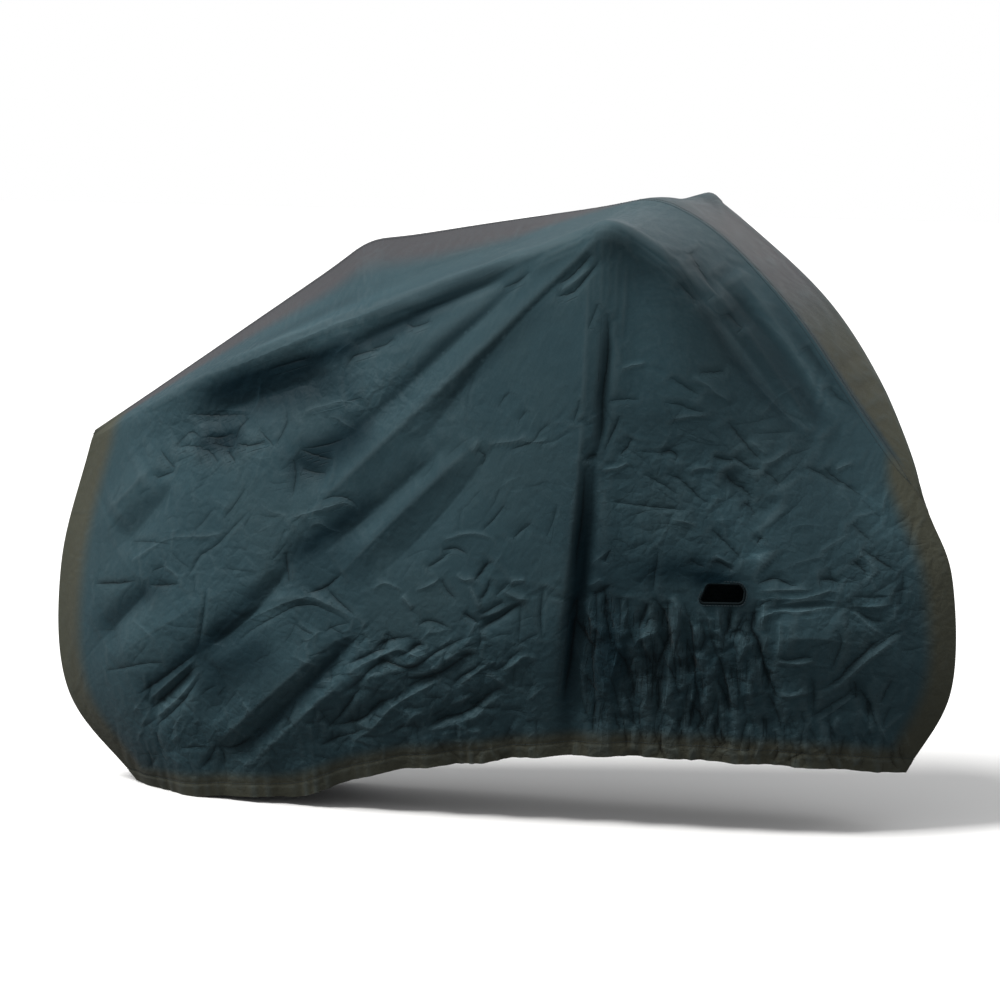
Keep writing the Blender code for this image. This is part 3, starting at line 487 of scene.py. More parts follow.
nearShades = [shadeRow(*row) for row in (
    ("under the shoulder", 20, -0.50, (-565, 735), (-435, 785), (-300, 830), (-215, 860), (-145, 890),
     (-45, 945), (45, 995), (120, 1020)),
    ("shoulder hollow", 48, -0.56, (-560, 725), (-415, 760), (-310, 780), (-180, 820)),
    ("star hollow", 28, -0.55, (-540, 660), (-480, 670), (-420, 685)),
    ("knee hollow", 34, -0.58, (-150, 730), (-245, 675), (-345, 620)),
    ("saddle hollow", 12, -0.32, (140, 1005), (65, 940), (15, 905), (-70, 830), (-135, 765),
     (-215, 690)),
    ("grip crest", 10, 0.10, (270, 1065), (200, 1005), (140, 945), (70, 870), (20, 820), (-45, 760),
     (-100, 700), (-145, 645)),
    ("second crest", 10, 0.10, (165, 1030), (95, 960), (30, 895), (-30, 840), (-95, 775)),
    ("grip hollow", 16, -0.26, (190, 965), (115, 895), (60, 845), (5, 785), (-40, 730)),
    ("thigh hollow", 14, -0.22, (15, 680), (-55, 610), (-115, 550), (-180, 480)),
    ("second ridge", 10, 0.18, (35, 655), (-25, 595), (-105, 520)),
    ("knee valley", 24, -0.55, (-140, 605), (-210, 550), (-265, 515), (-350, 455)),
    ("chain valley", 20, -0.48, (-325, 445), (-415, 380), (-480, 320), (-555, 265), (-665, 175)),
    ("fan valley", 54, -0.46, (-350, 315), (-435, 275), (-530, 195)),
    ("skirt valley", 14, -0.45, (-185, 365), (-260, 265), (-330, 195), (-460, 80)),
    ("skirt ridge", 14, 0.18, (-160, 345), (-240, 255), (-315, 180), (-420, 95)),
    ("tail valley", 22, -0.42, (-765, 290), (-665, 365), (-555, 420)),
    ("rear ridge", 10, 0.14, (-740, 495), (-650, 565), (-575, 615)),
    ("rear valley", 14, -0.20, (-725, 475), (-640, 540), (-580, 585)),
    ("tail swell", 50, 0.14, (-690, 280), (-530, 345), (-400, 390)),
    ("wheel swell", 48, 0.10, (-720, 625), (-535, 600), (-370, 590)),
    ("rear hem", 30, 0.18, (-650, 115), (-500, 45), (-350, 40)),
    ("bar pleat", 7, -0.26, (285, 960), (285, 860), (275, 770), (268, 680)),
    ("bar pleat side", 26, -0.12, (305, 985), (300, 860), (290, 755), (285, 645)),
    ("long pleat", 16, -0.58, (262, 690), (245, 575), (230, 465), (206, 335), (172, 130)),
    ("long pleat side", 48, -0.40, (275, 600), (275, 450), (265, 320), (250, 160)),
    ("beside the pleat", 30, 0.08, (195, 530), (170, 350), (150, 205)),
    ("front skirt", 88, -0.32, (230, 340), (405, 315), (580, 315)),
    ("over the slot", 28, -0.52, (310, 478), (400, 490), (460, 488), (515, 468)),
    ("above the slot edge", 16, -0.36, (425, 468), (485, 472), (545, 466)),
    ("below the slot edge", 12, -0.24, (435, 430), (485, 428), (540, 431)),
    ("below the bar", 70, 0.50, (362, 1010), (372, 920), (400, 760)),
    ("slot hump", 18, 0.34, (525, 540), (550, 500), (565, 475)),
    ("chest swell", 36, 0.14, (425, 700), (495, 595), (545, 505)),
    ("chest valley", 10, -0.24, (480, 655), (515, 615), (540, 575)),
    ("front tuck", 16, 0.20, (690, 620), (730, 570), (760, 525)),
    ("bar valley", 10, -0.32, (395, 1040), (440, 955), (475, 880), (535, 790), (615, 695)),
    ("bar ridge", 6, 0.18, (405, 1040), (450, 960), (490, 890), (550, 800), (625, 705)),
    ("lamp valley", 18, -0.30, (455, 990), (510, 900), (570, 810), (615, 750), (660, 700)),
    ("lamp ridge", 8, 0.20, (475, 1000), (535, 915), (585, 840), (630, 765), (665, 710)),
    ("neck valley", 8, -0.24, (505, 965), (575, 875), (630, 805), (690, 725)),
    ("bar facet", 26, -0.08, (320, 1090), (385, 1060), (465, 1000)),
    ("chain dim", 45, -0.24, (-150, 500), (-250, 465), (-340, 400)),
    ("front edge", 14, -0.22, (750, 520), (775, 425), (790, 330)),
    ("shoulder line", 6, 0.10, (-450, 785), (-295, 855), (-185, 905), (-75, 950), (50, 1000)),
    ("shoulder line 2", 6, 0.14, (-460, 815), (-325, 880), (-225, 925), (-90, 980)),
    ("rack line", 8, -0.18, (-440, 830), (-310, 900), (-200, 950)),
)]
farShades = [shadeRow(*row) for row in (
    ("long pleat", 20, -0.30, (320, 900), (290, 600), (240, 200)),
    ("grip hollow", 22, -0.22, (230, 950), (50, 760), (-160, 560)),
    ("shoulder hollow", 30, -0.26, (150, 1015), (-120, 890), (-420, 760)),
    ("chain valley", 30, -0.24, (-300, 460), (-470, 330), (-640, 200)),
)]

# where the cloth is crushed: a place, its reach, and how much the cloth buckles there
Patch = namedtuple("Patch", "x z reachX reachZ strength")
nearPatches = (
    Patch(0.00, 0.24, 0.24, 0.11, 0.50),
    Patch(0.43, 0.28, 0.28, 0.12, 0.30),
    Patch(0.42, 0.58, 0.20, 0.12, 0.08),
    Patch(0.74, 0.42, 0.12, 0.16, 0.20),
    Patch(-0.52, 0.68, 0.13, 0.07, 0.15),
    Patch(-0.42, 0.12, 0.22, 0.10, 0.22),
    Patch(-0.10, 0.45, 0.14, 0.10, 0.10),
)
nearCrushes = (
    Patch(-0.02, 0.25, 0.26, 0.12, 0.90),
    Patch(0.45, 0.26, 0.34, 0.14, 1.00),
    Patch(0.42, 0.58, 0.22, 0.16, 0.55),
    Patch(0.74, 0.42, 0.12, 0.18, 0.75),
    Patch(-0.42, 0.40, 0.30, 0.22, 0.40),
    Patch(-0.52, 0.68, 0.15, 0.08, 0.70),
    Patch(-0.20, 0.78, 0.24, 0.07, 0.60),
    Patch(-0.42, 0.12, 0.24, 0.10, 0.80),
    Patch(0.20, 0.12, 0.70, 0.05, 0.80),
)
farPatches = (
    Patch(0.20, 0.26, 0.70, 0.16, 0.80),
    Patch(0.10, 0.60, 0.50, 0.16, 0.35),
)

# the lock slot: where it is, how calm the cloth is round it, and its corners with their radius
slot = {"centre": (0.4855, -0.2227, 0.4490), "heading": 0.196, "foldCalm": 0.075,
        "creaseCalm": (0.054, 0.031), "held": (0.7, 1.1), "cutDepth": 0.060, "cutRun": 1.3,
        "bindingRadius": 0.0024, "stitchRun": 2.6, "stitchLift": 0.0008, "cornerSteps": 7,
        "corners": ((-0.038, -0.0150, 0.004), (0.035, -0.0150, 0.008), (0.038, 0.0050, 0.010),
                    (0.031, 0.0150, 0.008), (-0.025, 0.0150, 0.006))}


drape = {"cornerRound": 0.026, "creaseRound": 0.10, "seamCalm": 0.045, "creaseSeamCalm": 0.014,
         "foldFade": 0.30, "foldEnds": (0.55, 1.0), "foldRunOut": 1.8, "foldBody": 1.15,
         "foldCrest": 0.55, "crestShare": 0.45, "foldRise": 0.78,
         "creaseRise": 0.80, "creaseLean": 0.35, "creaseTop": 0.15}
hem = {"depth": 0.028, "roll": 0.0009, "edge": 0.006, "stitchDent": 0.003,
       "rippleHeight": 0.004, "rippleLength": 0.115, "rippleReach": 0.090, "rippleSway": (0.9, 7),
       "gatherHeight": 0.0014, "gatherLength": 0.031, "gatherReach": 0.040,
       "gatherSways": ((2.2, 23), (1.4, 61)), "even": 0.7, "uneven": 0.3, "unevenTurn": 17}


def farSections():
    rows = []
    for row in nearSections:
        mirrored = [(x, -y, z) for x, y, z in row[3:]]
        mirrored[0] = farShoulders.get(row.name, mirrored[0])
        rows.append(Section(row.name, row.corner, row.seam, *mirrored))
    return rows


def smoothCurve(knots, places, corners, t):     # through the knots, sharp at the corners
    steps = np.diff(places)
    trailing = [1] * (knots.ndim - 1)
    slopes = np.diff(knots, axis=0) / steps.reshape(-1, *trailing)
    enter = np.concatenate([slopes[:1], slopes])
    leave = np.concatenate([slopes, slopes[-1:]])
    for i in range(1, len(places) - 1):
        if not corners[i]:
            before, after = steps[i - 1], steps[i]
            mean = (slopes[i - 1] * after + slopes[i] * before) / (before + after)
            enter[i] = mean
            leave[i] = mean
    span = np.clip(np.searchsorted(places, t, side="right") - 1, 0, len(steps) - 1)
    h = steps[span].reshape(-1, *trailing)
    s = ((t - places[span]) / steps[span]).reshape(-1, *trailing)
    return (knots[span] * (1 + 2 * s) * (1 - s) ** 2 + leave[span] * h * s * (1 - s) ** 2
            + knots[span + 1] * s * s * (3 - 2 * s) + enter[span + 1] * h * s * s * (s - 1))


def loft(sections, stations, downs):            # downs run from 0 at the seam to 4 at the hem
    knots = np.array([[(row.seam[0], 0.0, row.seam[1]), *row[3:]] for row in sections])
    places = np.array([row.waist[0] for row in sections])
    taut = smoothCurve(knots[:, :2], places, [row.corner for row in sections], stations)
    hung = smoothCurve(knots[:, 2:], places, [False] * len(sections), stations)
    columns = np.concatenate([taut, hung], axis=1).transpose(1, 0, 2)
    bands = np.arange(len(columns), dtype=float)
    return smoothCurve(columns, bands, bands == 1, downs).transpose(1, 0, 2)


def roundedLoft(sections, stations, downs):     # averaged over a short reach
    reachX = np.minimum(drape["cornerRound"], np.minimum(stations - stations[0],
                                                         stations[-1] - stations))
    reachD = np.minimum(drape["creaseRound"], np.minimum(downs, downs[-1] - downs))
    offsets = (-1.0, -0.5, 0.0, 0.5, 1.0)
    total = 0
    for a in offsets:
        for b in offsets:
            total = total + loft(sections, stations + a * reachX, downs + b * reachD)
    return total / len(offsets) ** 2


def surfaceNormals(points, side):
    normal = np.cross(np.gradient(points, axis=0), np.gradient(points, axis=1))
    normal *= np.sign(np.sum(normal[..., 1])) * side
    return normal / np.linalg.norm(normal, axis=2, keepdims=True)


def peakPush(points):
    total = np.zeros_like(points)
    for peak in peaks:
        away = np.linalg.norm(points - np.array([peak.x, peak.y, peak.z]), axis=2)
        push = np.array([peak.pushX, peak.pushY, peak.pushZ])
        total += np.exp(-(away / peak.reach) ** 2)[..., None] * push
    return total


def foldHeight(folds, x, z):
    total = np.zeros_like(x)
    for fold in folds:
        dx, dz = fold.x1 - fold.x0, fold.z1 - fold.z0
        length = math.hypot(dx, dz)
        t = ((x - fold.x0) * dx + (z - fold.z0) * dz) / length ** 2
        across = ((z - fold.z0) * dx - (x - fold.x0) * dz) / length
        across = across - fold.bow * 4 * t * (1 - t)
        width = fold.width0 + (fold.width1 - fold.width0) * np.clip(t, 0, 1)
        beyond = np.maximum(np.maximum(-t, t - 1), 0) * length
        fade = 1 - (1 - drape["foldFade"]) * smoothStep(*drape["foldEnds"], np.abs(2 * t - 1))
        body = np.exp(-(across / (drape["foldBody"] * width)) ** 2)
        crest = np.exp(-np.abs(across) / (drape["foldCrest"] * width))
        shape = body + drape["crestShare"] * (crest - body)
        runOut = np.exp(-(beyond / (drape["foldRunOut"] * width)) ** 2)
        total += fold.height * drape["foldRise"] * fade * shape * runOut
    return total


def smoothLine(points, step=0.004):             # a curve through a crease's places
    knots = np.array(points, float)
    places = np.concatenate([[0], np.cumsum(np.linalg.norm(np.diff(knots, axis=0), axis=1))])
    count = max(3, int(places[-1] / step))
    t = np.linspace(0, places[-1], count)
    return smoothCurve(knots, places, [False] * len(knots), t)


def creaseField(x, z, crease):      # where a crease acts, the way across it and its fade at the ends
    line = smoothLine(crease.points)
    reach = max(drawnLines["widths"] * crease.width, drawnLines["reach"])
    low, high = line.min(axis=0) - reach, line.max(axis=0) + reach
    near = np.nonzero((x > low[0]) & (x < high[0]) & (z > low[1]) & (z < high[1]))
    away = np.stack([x[near], z[near]], axis=1)[:, None] - line[None]
    distance = np.linalg.norm(away, axis=2)
    k = distance.argmin(axis=1)
    run = np.gradient(line, axis=0)[k]
    nearest = away[np.arange(len(k)), k]
    leftwards = np.sign(run[:, 0] * nearest[:, 1] - run[:, 1] * nearest[:, 0])
    along = 2 * k / (len(line) - 1) - 1
    return near, distance[np.arange(len(k)), k] * leftwards, 1 - np.abs(along) ** 3


strewing = {"half": (0.3, 0.8), "bend": 0.12, "height": (0.5, 1.5), "width": (0.0035, 0.007)}


def strewCreases(strews, seed):                 # short curved creases, each a little different
    draw = np.random.default_rng(seed)
    creases = []
    for strew in strews:
        for i in range(strew.count):
            x, z = draw.uniform(strew.x0, strew.x1), draw.uniform(strew.z0, strew.z1)
            heading = math.radians(draw.normal(strew.angle, strew.spread))
            half = strew.length * draw.uniform(*strewing["half"])
            bend = half * draw.normal(0, strewing["bend"])
            ahead = np.array([math.cos(heading), math.sin(heading)]) * half
            aside = np.array([-math.sin(heading), math.cos(heading)]) * bend
            middle = np.array([x, z])
            height = strew.height * draw.uniform(*strewing["height"]) * draw.choice([-1, 1])
            points = (middle - ahead, middle + aside, middle + ahead)
            width = draw.uniform(*strewing["width"])
            creases.append(Crease(strew.name, width, height, points))
    return creases


# creases finer than the grid, drawn by the material as a bump and as painted shade and highlight: it
# reads how far off each line is and how strong
drawnLines = {"channels": 8, "widths": 4.5, "reach": 0.013, "whole": 0.0075, "share": 0.26,
              "least": 0.0013, "crest": 0.6, "faint": 0.01}


def layCreases(creases, x, z, seed):
    # creases that come close to each other go into different channels
    draw = np.random.default_rng(seed)
    height = np.zeros_like(x)
    across = np.full((drawnLines["channels"], *x.shape), drawnLines["reach"])
    strength = np.zeros((drawnLines["channels"], *x.shape))
    top = drape["creaseTop"]
    for crease in creases:
        near, signed, fade = creaseField(x, z, crease)
        lean = 1 + draw.uniform(-drape["creaseLean"], drape["creaseLean"]) * np.sign(signed)
        span = signed / (crease.width * lean)
        rise = crease.height * drape["creaseRise"]
        height[near] += rise * fade * np.exp(top - np.sqrt(span ** 2 + top ** 2))
        close = (np.abs(signed) < drawnLines["reach"]) & (fade > drawnLines["faint"])
        i, j = near[0][close], near[1][close]
        if len(i) == 0:
            continue
        k = np.count_nonzero(strength[:, i, j], axis=1).argmin()
        mark = crease.height + math.copysign(drawnLines["least"], crease.height)
        mark *= drawnLines["crest"] if mark > 0 else 1
        mark = mark * drawnLines["share"] * fade[close]
        mark *= 1 - smoothStep(drawnLines["whole"], drawnLines["reach"], np.abs(signed[close]))
        stronger = np.abs(mark) > np.abs(strength[k, i, j])
        i, j = i[stronger], j[stronger]
        across[k, i, j] = signed[close][stronger]
        strength[k, i, j] = mark[stronger]
    return height, across, strength


def shadeStrength(shades, x, z):
    total = np.zeros_like(x)
    for shade in shades:
        near, signed, fade = creaseField(x, z, shade)
        total[near] += shade.strength * fade * np.exp(-(signed / shade.width) ** 2)
    return np.clip(total, *shadeLimits)


def patchStrength(patches, x, z):
    total = np.zeros_like(x)
    for patch in patches:
        spread = ((x - patch.x) / patch.reachX) ** 2 + ((z - patch.z) / patch.reachZ) ** 2
        total = np.maximum(total, patch.strength * np.exp(-spread))
    return total


def smoothStep(low, high, value):
    t = np.clip((value - low) / (high - low), 0, 1)
    return t * t * (3 - 2 * t)


# a short cloth simulation: the crushed stretches grow a little and buckle
settling = {"frames": 14, "steps": 4, "mass": 0.02, "stretch": 15, "shear": 6, "bend": 0.02,
            "damping": 5, "air": 3, "hold": 0.10, "seamHold": 0.35, "seamReach": (0.010, 0.050),
            "levels": 40, "evenGrowth": 0.003, "patchGrowth": 0.042}


def gridQuads(index):
    return np.stack([index[:-1, :-1], index[1:, :-1], index[1:, 1:], index[:-1, 1:]], axis=2)


def weightGroup(sheet, name, weights):          # a vertex group in a few even levels
    group = sheet.vertex_groups.new(name=name)
    levels = np.rint(weights.ravel() * settling["levels"]).astype(int)
    for level in np.unique(levels):
        group.add(np.nonzero(levels == level)[0].tolist(), float(level) / settling["levels"], "REPLACE")
    return group.name


def settleCloth(points, hold, growth):
    count = points.shape[0] * points.shape[1]
    mesh = bpy.data.meshes.new("settling")
    quads = gridQuads(np.arange(count).reshape(points.shape[:2])).reshape(-1, 4)
    mesh.from_pydata(points.reshape(-1, 3).tolist(), [], quads.tolist())
    sheet = bpy.data.objects.new("settling", mesh)
    scene.collection.objects.link(sheet)
    cloth = sheet.modifiers.new("settling", "CLOTH")
    cloth.settings.vertex_group_mass = weightGroup(sheet, "hold", hold)
    cloth.settings.vertex_group_shrink = weightGroup(sheet, "growth", growth)
    cloth.settings.shrink_min = -settling["evenGrowth"]
    cloth.settings.shrink_max = -settling["patchGrowth"]
    cloth.settings.quality = settling["steps"]
    cloth.settings.mass = settling["mass"]
    cloth.settings.air_damping = settling["air"]
    cloth.settings.tension_stiffness = settling["stretch"]
    cloth.settings.compression_stiffness = settling["stretch"]
    cloth.settings.shear_stiffness = settling["shear"]
    cloth.settings.bending_stiffness = settling["bend"]
    cloth.settings.tension_damping = settling["damping"]
    cloth.settings.compression_damping = settling["damping"]
    cloth.settings.shear_damping = settling["damping"]
    cloth.settings.effector_weights.gravity = 0.0
    cloth.collision_settings.use_collision = False
    cloth.point_cache.frame_start = 1
    cloth.point_cache.frame_end = settling["frames"] + 1
    for step in range(1, settling["frames"] + 1):
        scene.frame_set(step)
    graph = bpy.context.evaluated_depsgraph_get()
    settled = np.zeros(count * 3, np.float32)
    sheet.evaluated_get(graph).data.vertices.foreach_get("co", settled)
    bpy.data.objects.remove(sheet, do_unlink=True)
    bpy.data.meshes.remove(mesh)
    scene.frame_set(1)
    return settled.astype(float).reshape(points.shape)


def blurGrid(values, reach):                    # a running mean both ways over the grid
    total = values
    for axis in (0, 1):
        width = [(0, 0)] * values.ndim
        width[axis] = (reach + 1, reach)
        run = np.cumsum(np.pad(total, width, mode="edge"), axis=axis)
        length = total.shape[axis]
        total = (np.take(run, range(2 * reach + 1, length + 2 * reach + 1), axis=axis)
                 - np.take(run, range(length), axis=axis)) / (2 * reach + 1)
    return total


nearPanel = {"name": "near_cloth", "side": -1, "sections": nearSections, "folds": nearFolds,
             "creases": nearCreases, "strews": nearStrews, "shades": nearShades, "patches": nearPatches,
             "crushes": nearCrushes, "seed": 11, "columns": 357, "rows": (33, 54, 81, 69),
             "wall": 0.0020}
farPanel = {"name": "far_cloth", "side": 1, "sections": farSections(), "folds": farFolds,
            "creases": (), "strews": farStrews, "shades": farShades, "patches": farPatches,
            "crushes": farPatches, "seed": 23, "columns": 240, "rows": (18, 36, 51, 42),
            "wall": 0.0020}
innerStep = 3                                   # the inner layer has every third grid line
seamGap = 0.00015                               # each panel stops this short of the seam's plane
sharpAngle = 70                                 # degrees


def hemGathers(x, above):                       # the elastic draws the hem into small ripples
    sway, turn = hem["rippleSway"]
    ripple = 2 * math.pi * x / hem["rippleLength"] + sway * np.sin(turn * x)
    gather = 2 * math.pi * x / hem["gatherLength"]
    for sway, turn in hem["gatherSways"]:
        gather += sway * np.sin(turn * x)
    fine = hem["gatherHeight"] * np.sin(gather)
    fine *= hem["even"] + hem["uneven"] * np.sin(hem["unevenTurn"] * x + 1)
    return (hem["rippleHeight"] * np.sin(ripple) * np.exp(-above / hem["rippleReach"]),
            fine * np.exp(-above / hem["gatherReach"]))


def nearSlot(x, z):                             # forwards and up from the slot's centre
    return x - slot["centre"][0], z - slot["centre"][2]


def pinHold(side, x, z, above, below):          # how firmly the settling cloth is held
    hold = np.full_like(x, settling["hold"])
    nearest = np.minimum(below, above)
    firmer = settling["seamHold"] - settling["hold"]
    hold += firmer * (1 - smoothStep(*settling["seamReach"], nearest))
    if side < 0:
        dx, dz = nearSlot(x, z)
        calmX, calmZ = slot["creaseCalm"]
        hold += (1 - hold) * (1 - smoothStep(*slot["held"], np.hypot(dx / calmX, dz / calmZ)))
    hold[nearest < settling["seamReach"][0]] = 1.0
    hold[[0, -1]] = 1.0
    return hold


# where the cloth is greyer at its edges, where a painted reflection greys the top, where painted light
# and shade follow its relief, and where it is crumpled; each pair is where a change starts and ends
colouring = {"bandDown": 0.56, "bandNarrows": 0.60, "bandTurn": (0.05, 0.38), "bandSoft": 0.30,
             "bandStart": 0.10, "endBand": (0.045, 0.105), "endNarrows": 0.25, "endTurn": (0.0, 0.2),
             "hemBand": (0.030, 0.062), "frontTurn": (0.30, 0.42), "frontDown": (0.85, 1.75),
             "frontSeam": (0.006, 0.024), "frontHigh": (0.84, 1.00),
             "seamLightAndWear": 0.8, "seamLightAndWearReach": 0.005, "seamLightAndWearTurn": (0.42, 0.52),
             "crumpleLeast": 0.05, "crumpleShare": 0.75, "reliefSpan": 2, "reliefDepth": 0.0010,
             "hollowSpan": 7, "hollowDepth": 0.0045}


def standOut(outer, outward, span):             # how far the cloth stands out from its own mean
    return np.sum((outer - blurGrid(outer, span)) * outward, axis=2)


def panelLooks(panel, grid):                    # the attributes that the material reads
    x, z, down, above, below = (grid[name] for name in ("x", "z", "down", "above", "below"))
    # a greyer band along the top of each panel: a painted sky reflection
    band = colouring["bandDown"] - colouring["bandNarrows"] * smoothStep(*colouring["bandTurn"], x)
    facet = 1 - smoothStep(band - colouring["bandSoft"], band, down)
    facet = facet * smoothStep(0.0, colouring["bandStart"], grid["fromEnds"])
    endReach = 1 - colouring["endNarrows"] * smoothStep(*colouring["endTurn"], x)
    ends = 1 - smoothStep(*colouring["endBand"], grid["fromEnds"] / endReach)
    tint = np.maximum(1 - smoothStep(*colouring["hemBand"], above), ends)
    if panel["side"] > 0:                       # the far side of the front is the greyer colour too
        # high up on the far side of the front the painted top reflection, lower down the greyer edge
        # colour
        front = (1 - smoothStep(*colouring["frontDown"], down)) * smoothStep(*colouring["frontTurn"], x)
        front = front * smoothStep(*colouring["frontSeam"], below)
        high = smoothStep(*colouring["frontHigh"], z)
        facet = np.maximum(facet, front * high)
        tint = np.maximum(tint, front * (1 - high))
    # painted light on the crests and painted shade in the creases, from how far the cloth stands out from
    # its own mean
    sharp = standOut(grid["outer"], grid["outward"], colouring["reliefSpan"]) / colouring["reliefDepth"]
    broad = standOut(grid["outer"], grid["outward"], colouring["hollowSpan"]) / colouring["hollowDepth"]
    # a painted highlight along the raised seam, which also stands for the seam rubbing lighter
    seamLightAndWear = colouring["seamLightAndWear"] * np.exp(-(below / colouring["seamLightAndWearReach"]) ** 2)
    seamLightAndWear = seamLightAndWear * smoothStep(*colouring["seamLightAndWearTurn"], x)
    crushed = patchStrength(panel["crushes"], x, z)
    return {"tint": tint, "facet": facet, "shade": shadeStrength(panel["shades"], x, z),
            "crumple": colouring["crumpleLeast"] + colouring["crumpleShare"] * crushed,
            "wear": np.maximum(np.clip(sharp, -1, 1), seamLightAndWear), "hollow": np.clip(broad, -1, 1)}


def makePanel(panel):
    sections, side = panel["sections"], panel["side"]
    stations = np.linspace(sections[0].waist[0], sections[-1].waist[0], panel["columns"] + 1)
    downs = np.concatenate([np.linspace(i, i + 1, count, endpoint=False)
                            for i, count in enumerate(panel["rows"])] + [[4.0]])
    base = roundedLoft(sections, stations, downs)
    base += peakPush(base)
    x, y, z = np.moveaxis(base, 2, 0)
    above = np.linalg.norm(base - base[:, -1:], axis=2)     # height above the hem
    below = np.linalg.norm(base - base[:, :1], axis=2)      # distance from the seam
    foldCalm = 1 - np.exp(-(y / drape["seamCalm"]) ** 2)
    creaseCalm = 1 - np.exp(-(y / drape["creaseSeamCalm"]) ** 2)
    if side < 0:
        dx, dz = nearSlot(x, z)
        calmX, calmZ = slot["creaseCalm"]
        foldCalm *= 1 - np.exp(-(np.hypot(dx, dz) / slot["foldCalm"]) ** 4)
        creaseCalm *= 1 - np.exp(-np.hypot(dx / calmX, dz / calmZ) ** 4)
    ripple, gather = hemGathers(x, above)
    folds = (foldHeight(panel["folds"], x, z) + ripple) * foldCalm
    folded = base + surfaceNormals(base, side) * folds[..., None]
    strewn = strewCreases(panel["strews"], panel["seed"])
    fine, across, strength = layCreases([*panel["creases"], *strewn], x, z, panel["seed"] + 1)
    fine = (fine + gather) * creaseCalm
    fine += hem["roll"] * (smoothStep(hem["depth"], hem["depth"] - hem["edge"], above)
                           - np.exp(-((above - hem["depth"]) / hem["stitchDent"]) ** 2))
    outward = surfaceNormals(folded, side)
    growth = patchStrength(panel["patches"], x, z)
    outer = settleCloth(folded + outward * fine[..., None], pinHold(side, x, z, above, below), growth)
    inner = innerLayer(folded, outer, outward, panel["wall"])
    for layer in (outer, inner):
        layer[..., 1] = side * np.maximum(side * layer[..., 1], seamGap)
    fromEnds = np.minimum(np.linalg.norm(base - base[:1], axis=2),
                          np.linalg.norm(base - base[-1:], axis=2))
    grid = {"x": x, "z": z, "down": np.broadcast_to(downs, x.shape), "above": above, "below": below,
            "fromEnds": fromEnds, "outer": outer, "outward": outward}
    looks = panelLooks(panel, grid)
    for k in range(drawnLines["channels"]):
        looks[f"crease{k}"] = np.stack([across[k], strength[k] * creaseCalm, 0 * x], axis=2)
    return joinLayers(panel, outer, inner, looks), grid


def innerLayer(folded, outer, outward, wall):   # it stays under every crease of the outer layer
    moved = outer - folded
    rise = np.sum(moved * outward, axis=2)
    lowest = rise.copy()
    for i in range(-innerStep, innerStep + 1):
        for j in range(-innerStep, innerStep + 1):
            lowest = np.minimum(lowest, np.roll(rise, (i, j), axis=(0, 1)))
    inner = folded + moved + outward * (lowest - rise - wall)[..., None]
    return inner[::innerStep, ::innerStep]


def joinLayers(panel, outer, inner, looks):
    columns, rows = outer.shape[0], outer.shape[1]
    innerColumns, innerRows = inner.shape[0], inner.shape[1]
    outerIndex = np.arange(columns * rows).reshape(columns, rows)
    innerIndex = np.arange(innerColumns * innerRows).reshape(innerColumns, innerRows) + columns * rows
    outerQuads = gridQuads(outerIndex).reshape(-1, 4)
    innerQuads = gridQuads(innerIndex).reshape(-1, 4)[:, ::-1]
    loop = [(i, 0) for i in range(columns)] + [(columns - 1, j) for j in range(1, rows)]
    loop += [(i, rows - 1) for i in range(columns - 2, -1, -1)]
    loop += [(0, j) for j in range(rows - 2, 0, -1)]
    rim = []
    for k in range(0, len(loop), innerStep):
        stretch = [loop[(k + i) % len(loop)] for i in range(innerStep + 1)]
        (a, b), (c, d) = stretch[-1], stretch[0]
        corners = [innerIndex[a // innerStep, b // innerStep], innerIndex[c // innerStep, d // innerStep]]
        rim.append([int(outerIndex[i, j]) for i, j in stretch][::-1] + [int(v) for v in corners][::-1])
    faces = [*outerQuads.tolist(), *innerQuads.tolist(), *rim]
    if panel["side"] < 0:
        faces = [face[::-1] for face in faces]
    points = np.concatenate([outer.reshape(-1, 3), inner.reshape(-1, 3)])
    mesh = bpy.data.meshes.new(panel["name"])
    mesh.from_pydata(points.tolist(), [], faces)
    for name, value in looks.items():
        values = np.concatenate([value.ravel(), value[::innerStep, ::innerStep].ravel()])
        kind, field = ("FLOAT_VECTOR", "vector") if value.ndim == 3 else ("FLOAT", "value")
        layer = mesh.attributes.new(name, kind, "POINT")
        layer.data.foreach_set(field, values.astype(np.float32))
    addMap(mesh, outer, inner)
    mesh.shade_smooth()
    mesh.set_sharp_from_angle(angle=math.radians(sharpAngle))
    cloth = bpy.data.objects.new(panel["name"], mesh)
    scene.collection.objects.link(cloth)
    return cloth


def addMap(mesh, outer, inner):                 # metres along the panel and down it
    spots = []
    for layer in (outer, inner):
        steps = np.linalg.norm(np.diff(layer, axis=1), axis=2)
        down = np.concatenate([np.zeros((len(layer), 1)), np.cumsum(steps, axis=1)], axis=1)
        spots.append(np.stack([layer[..., 0], down], axis=2).reshape(-1, 2))
    spots = np.concatenate(spots)
    corner = np.zeros(len(mesh.loops), np.int32)
    mesh.loops.foreach_get("vertex_index", corner)
    layer = mesh.uv_layers.new(name="threads")
    layer.uv.foreach_set("vector", spots[corner].astype(np.float32).ravel())


nearCloth, nearGrid = makePanel(nearPanel)
farCloth, farGrid = makePanel(farPanel)
print("panels draped")


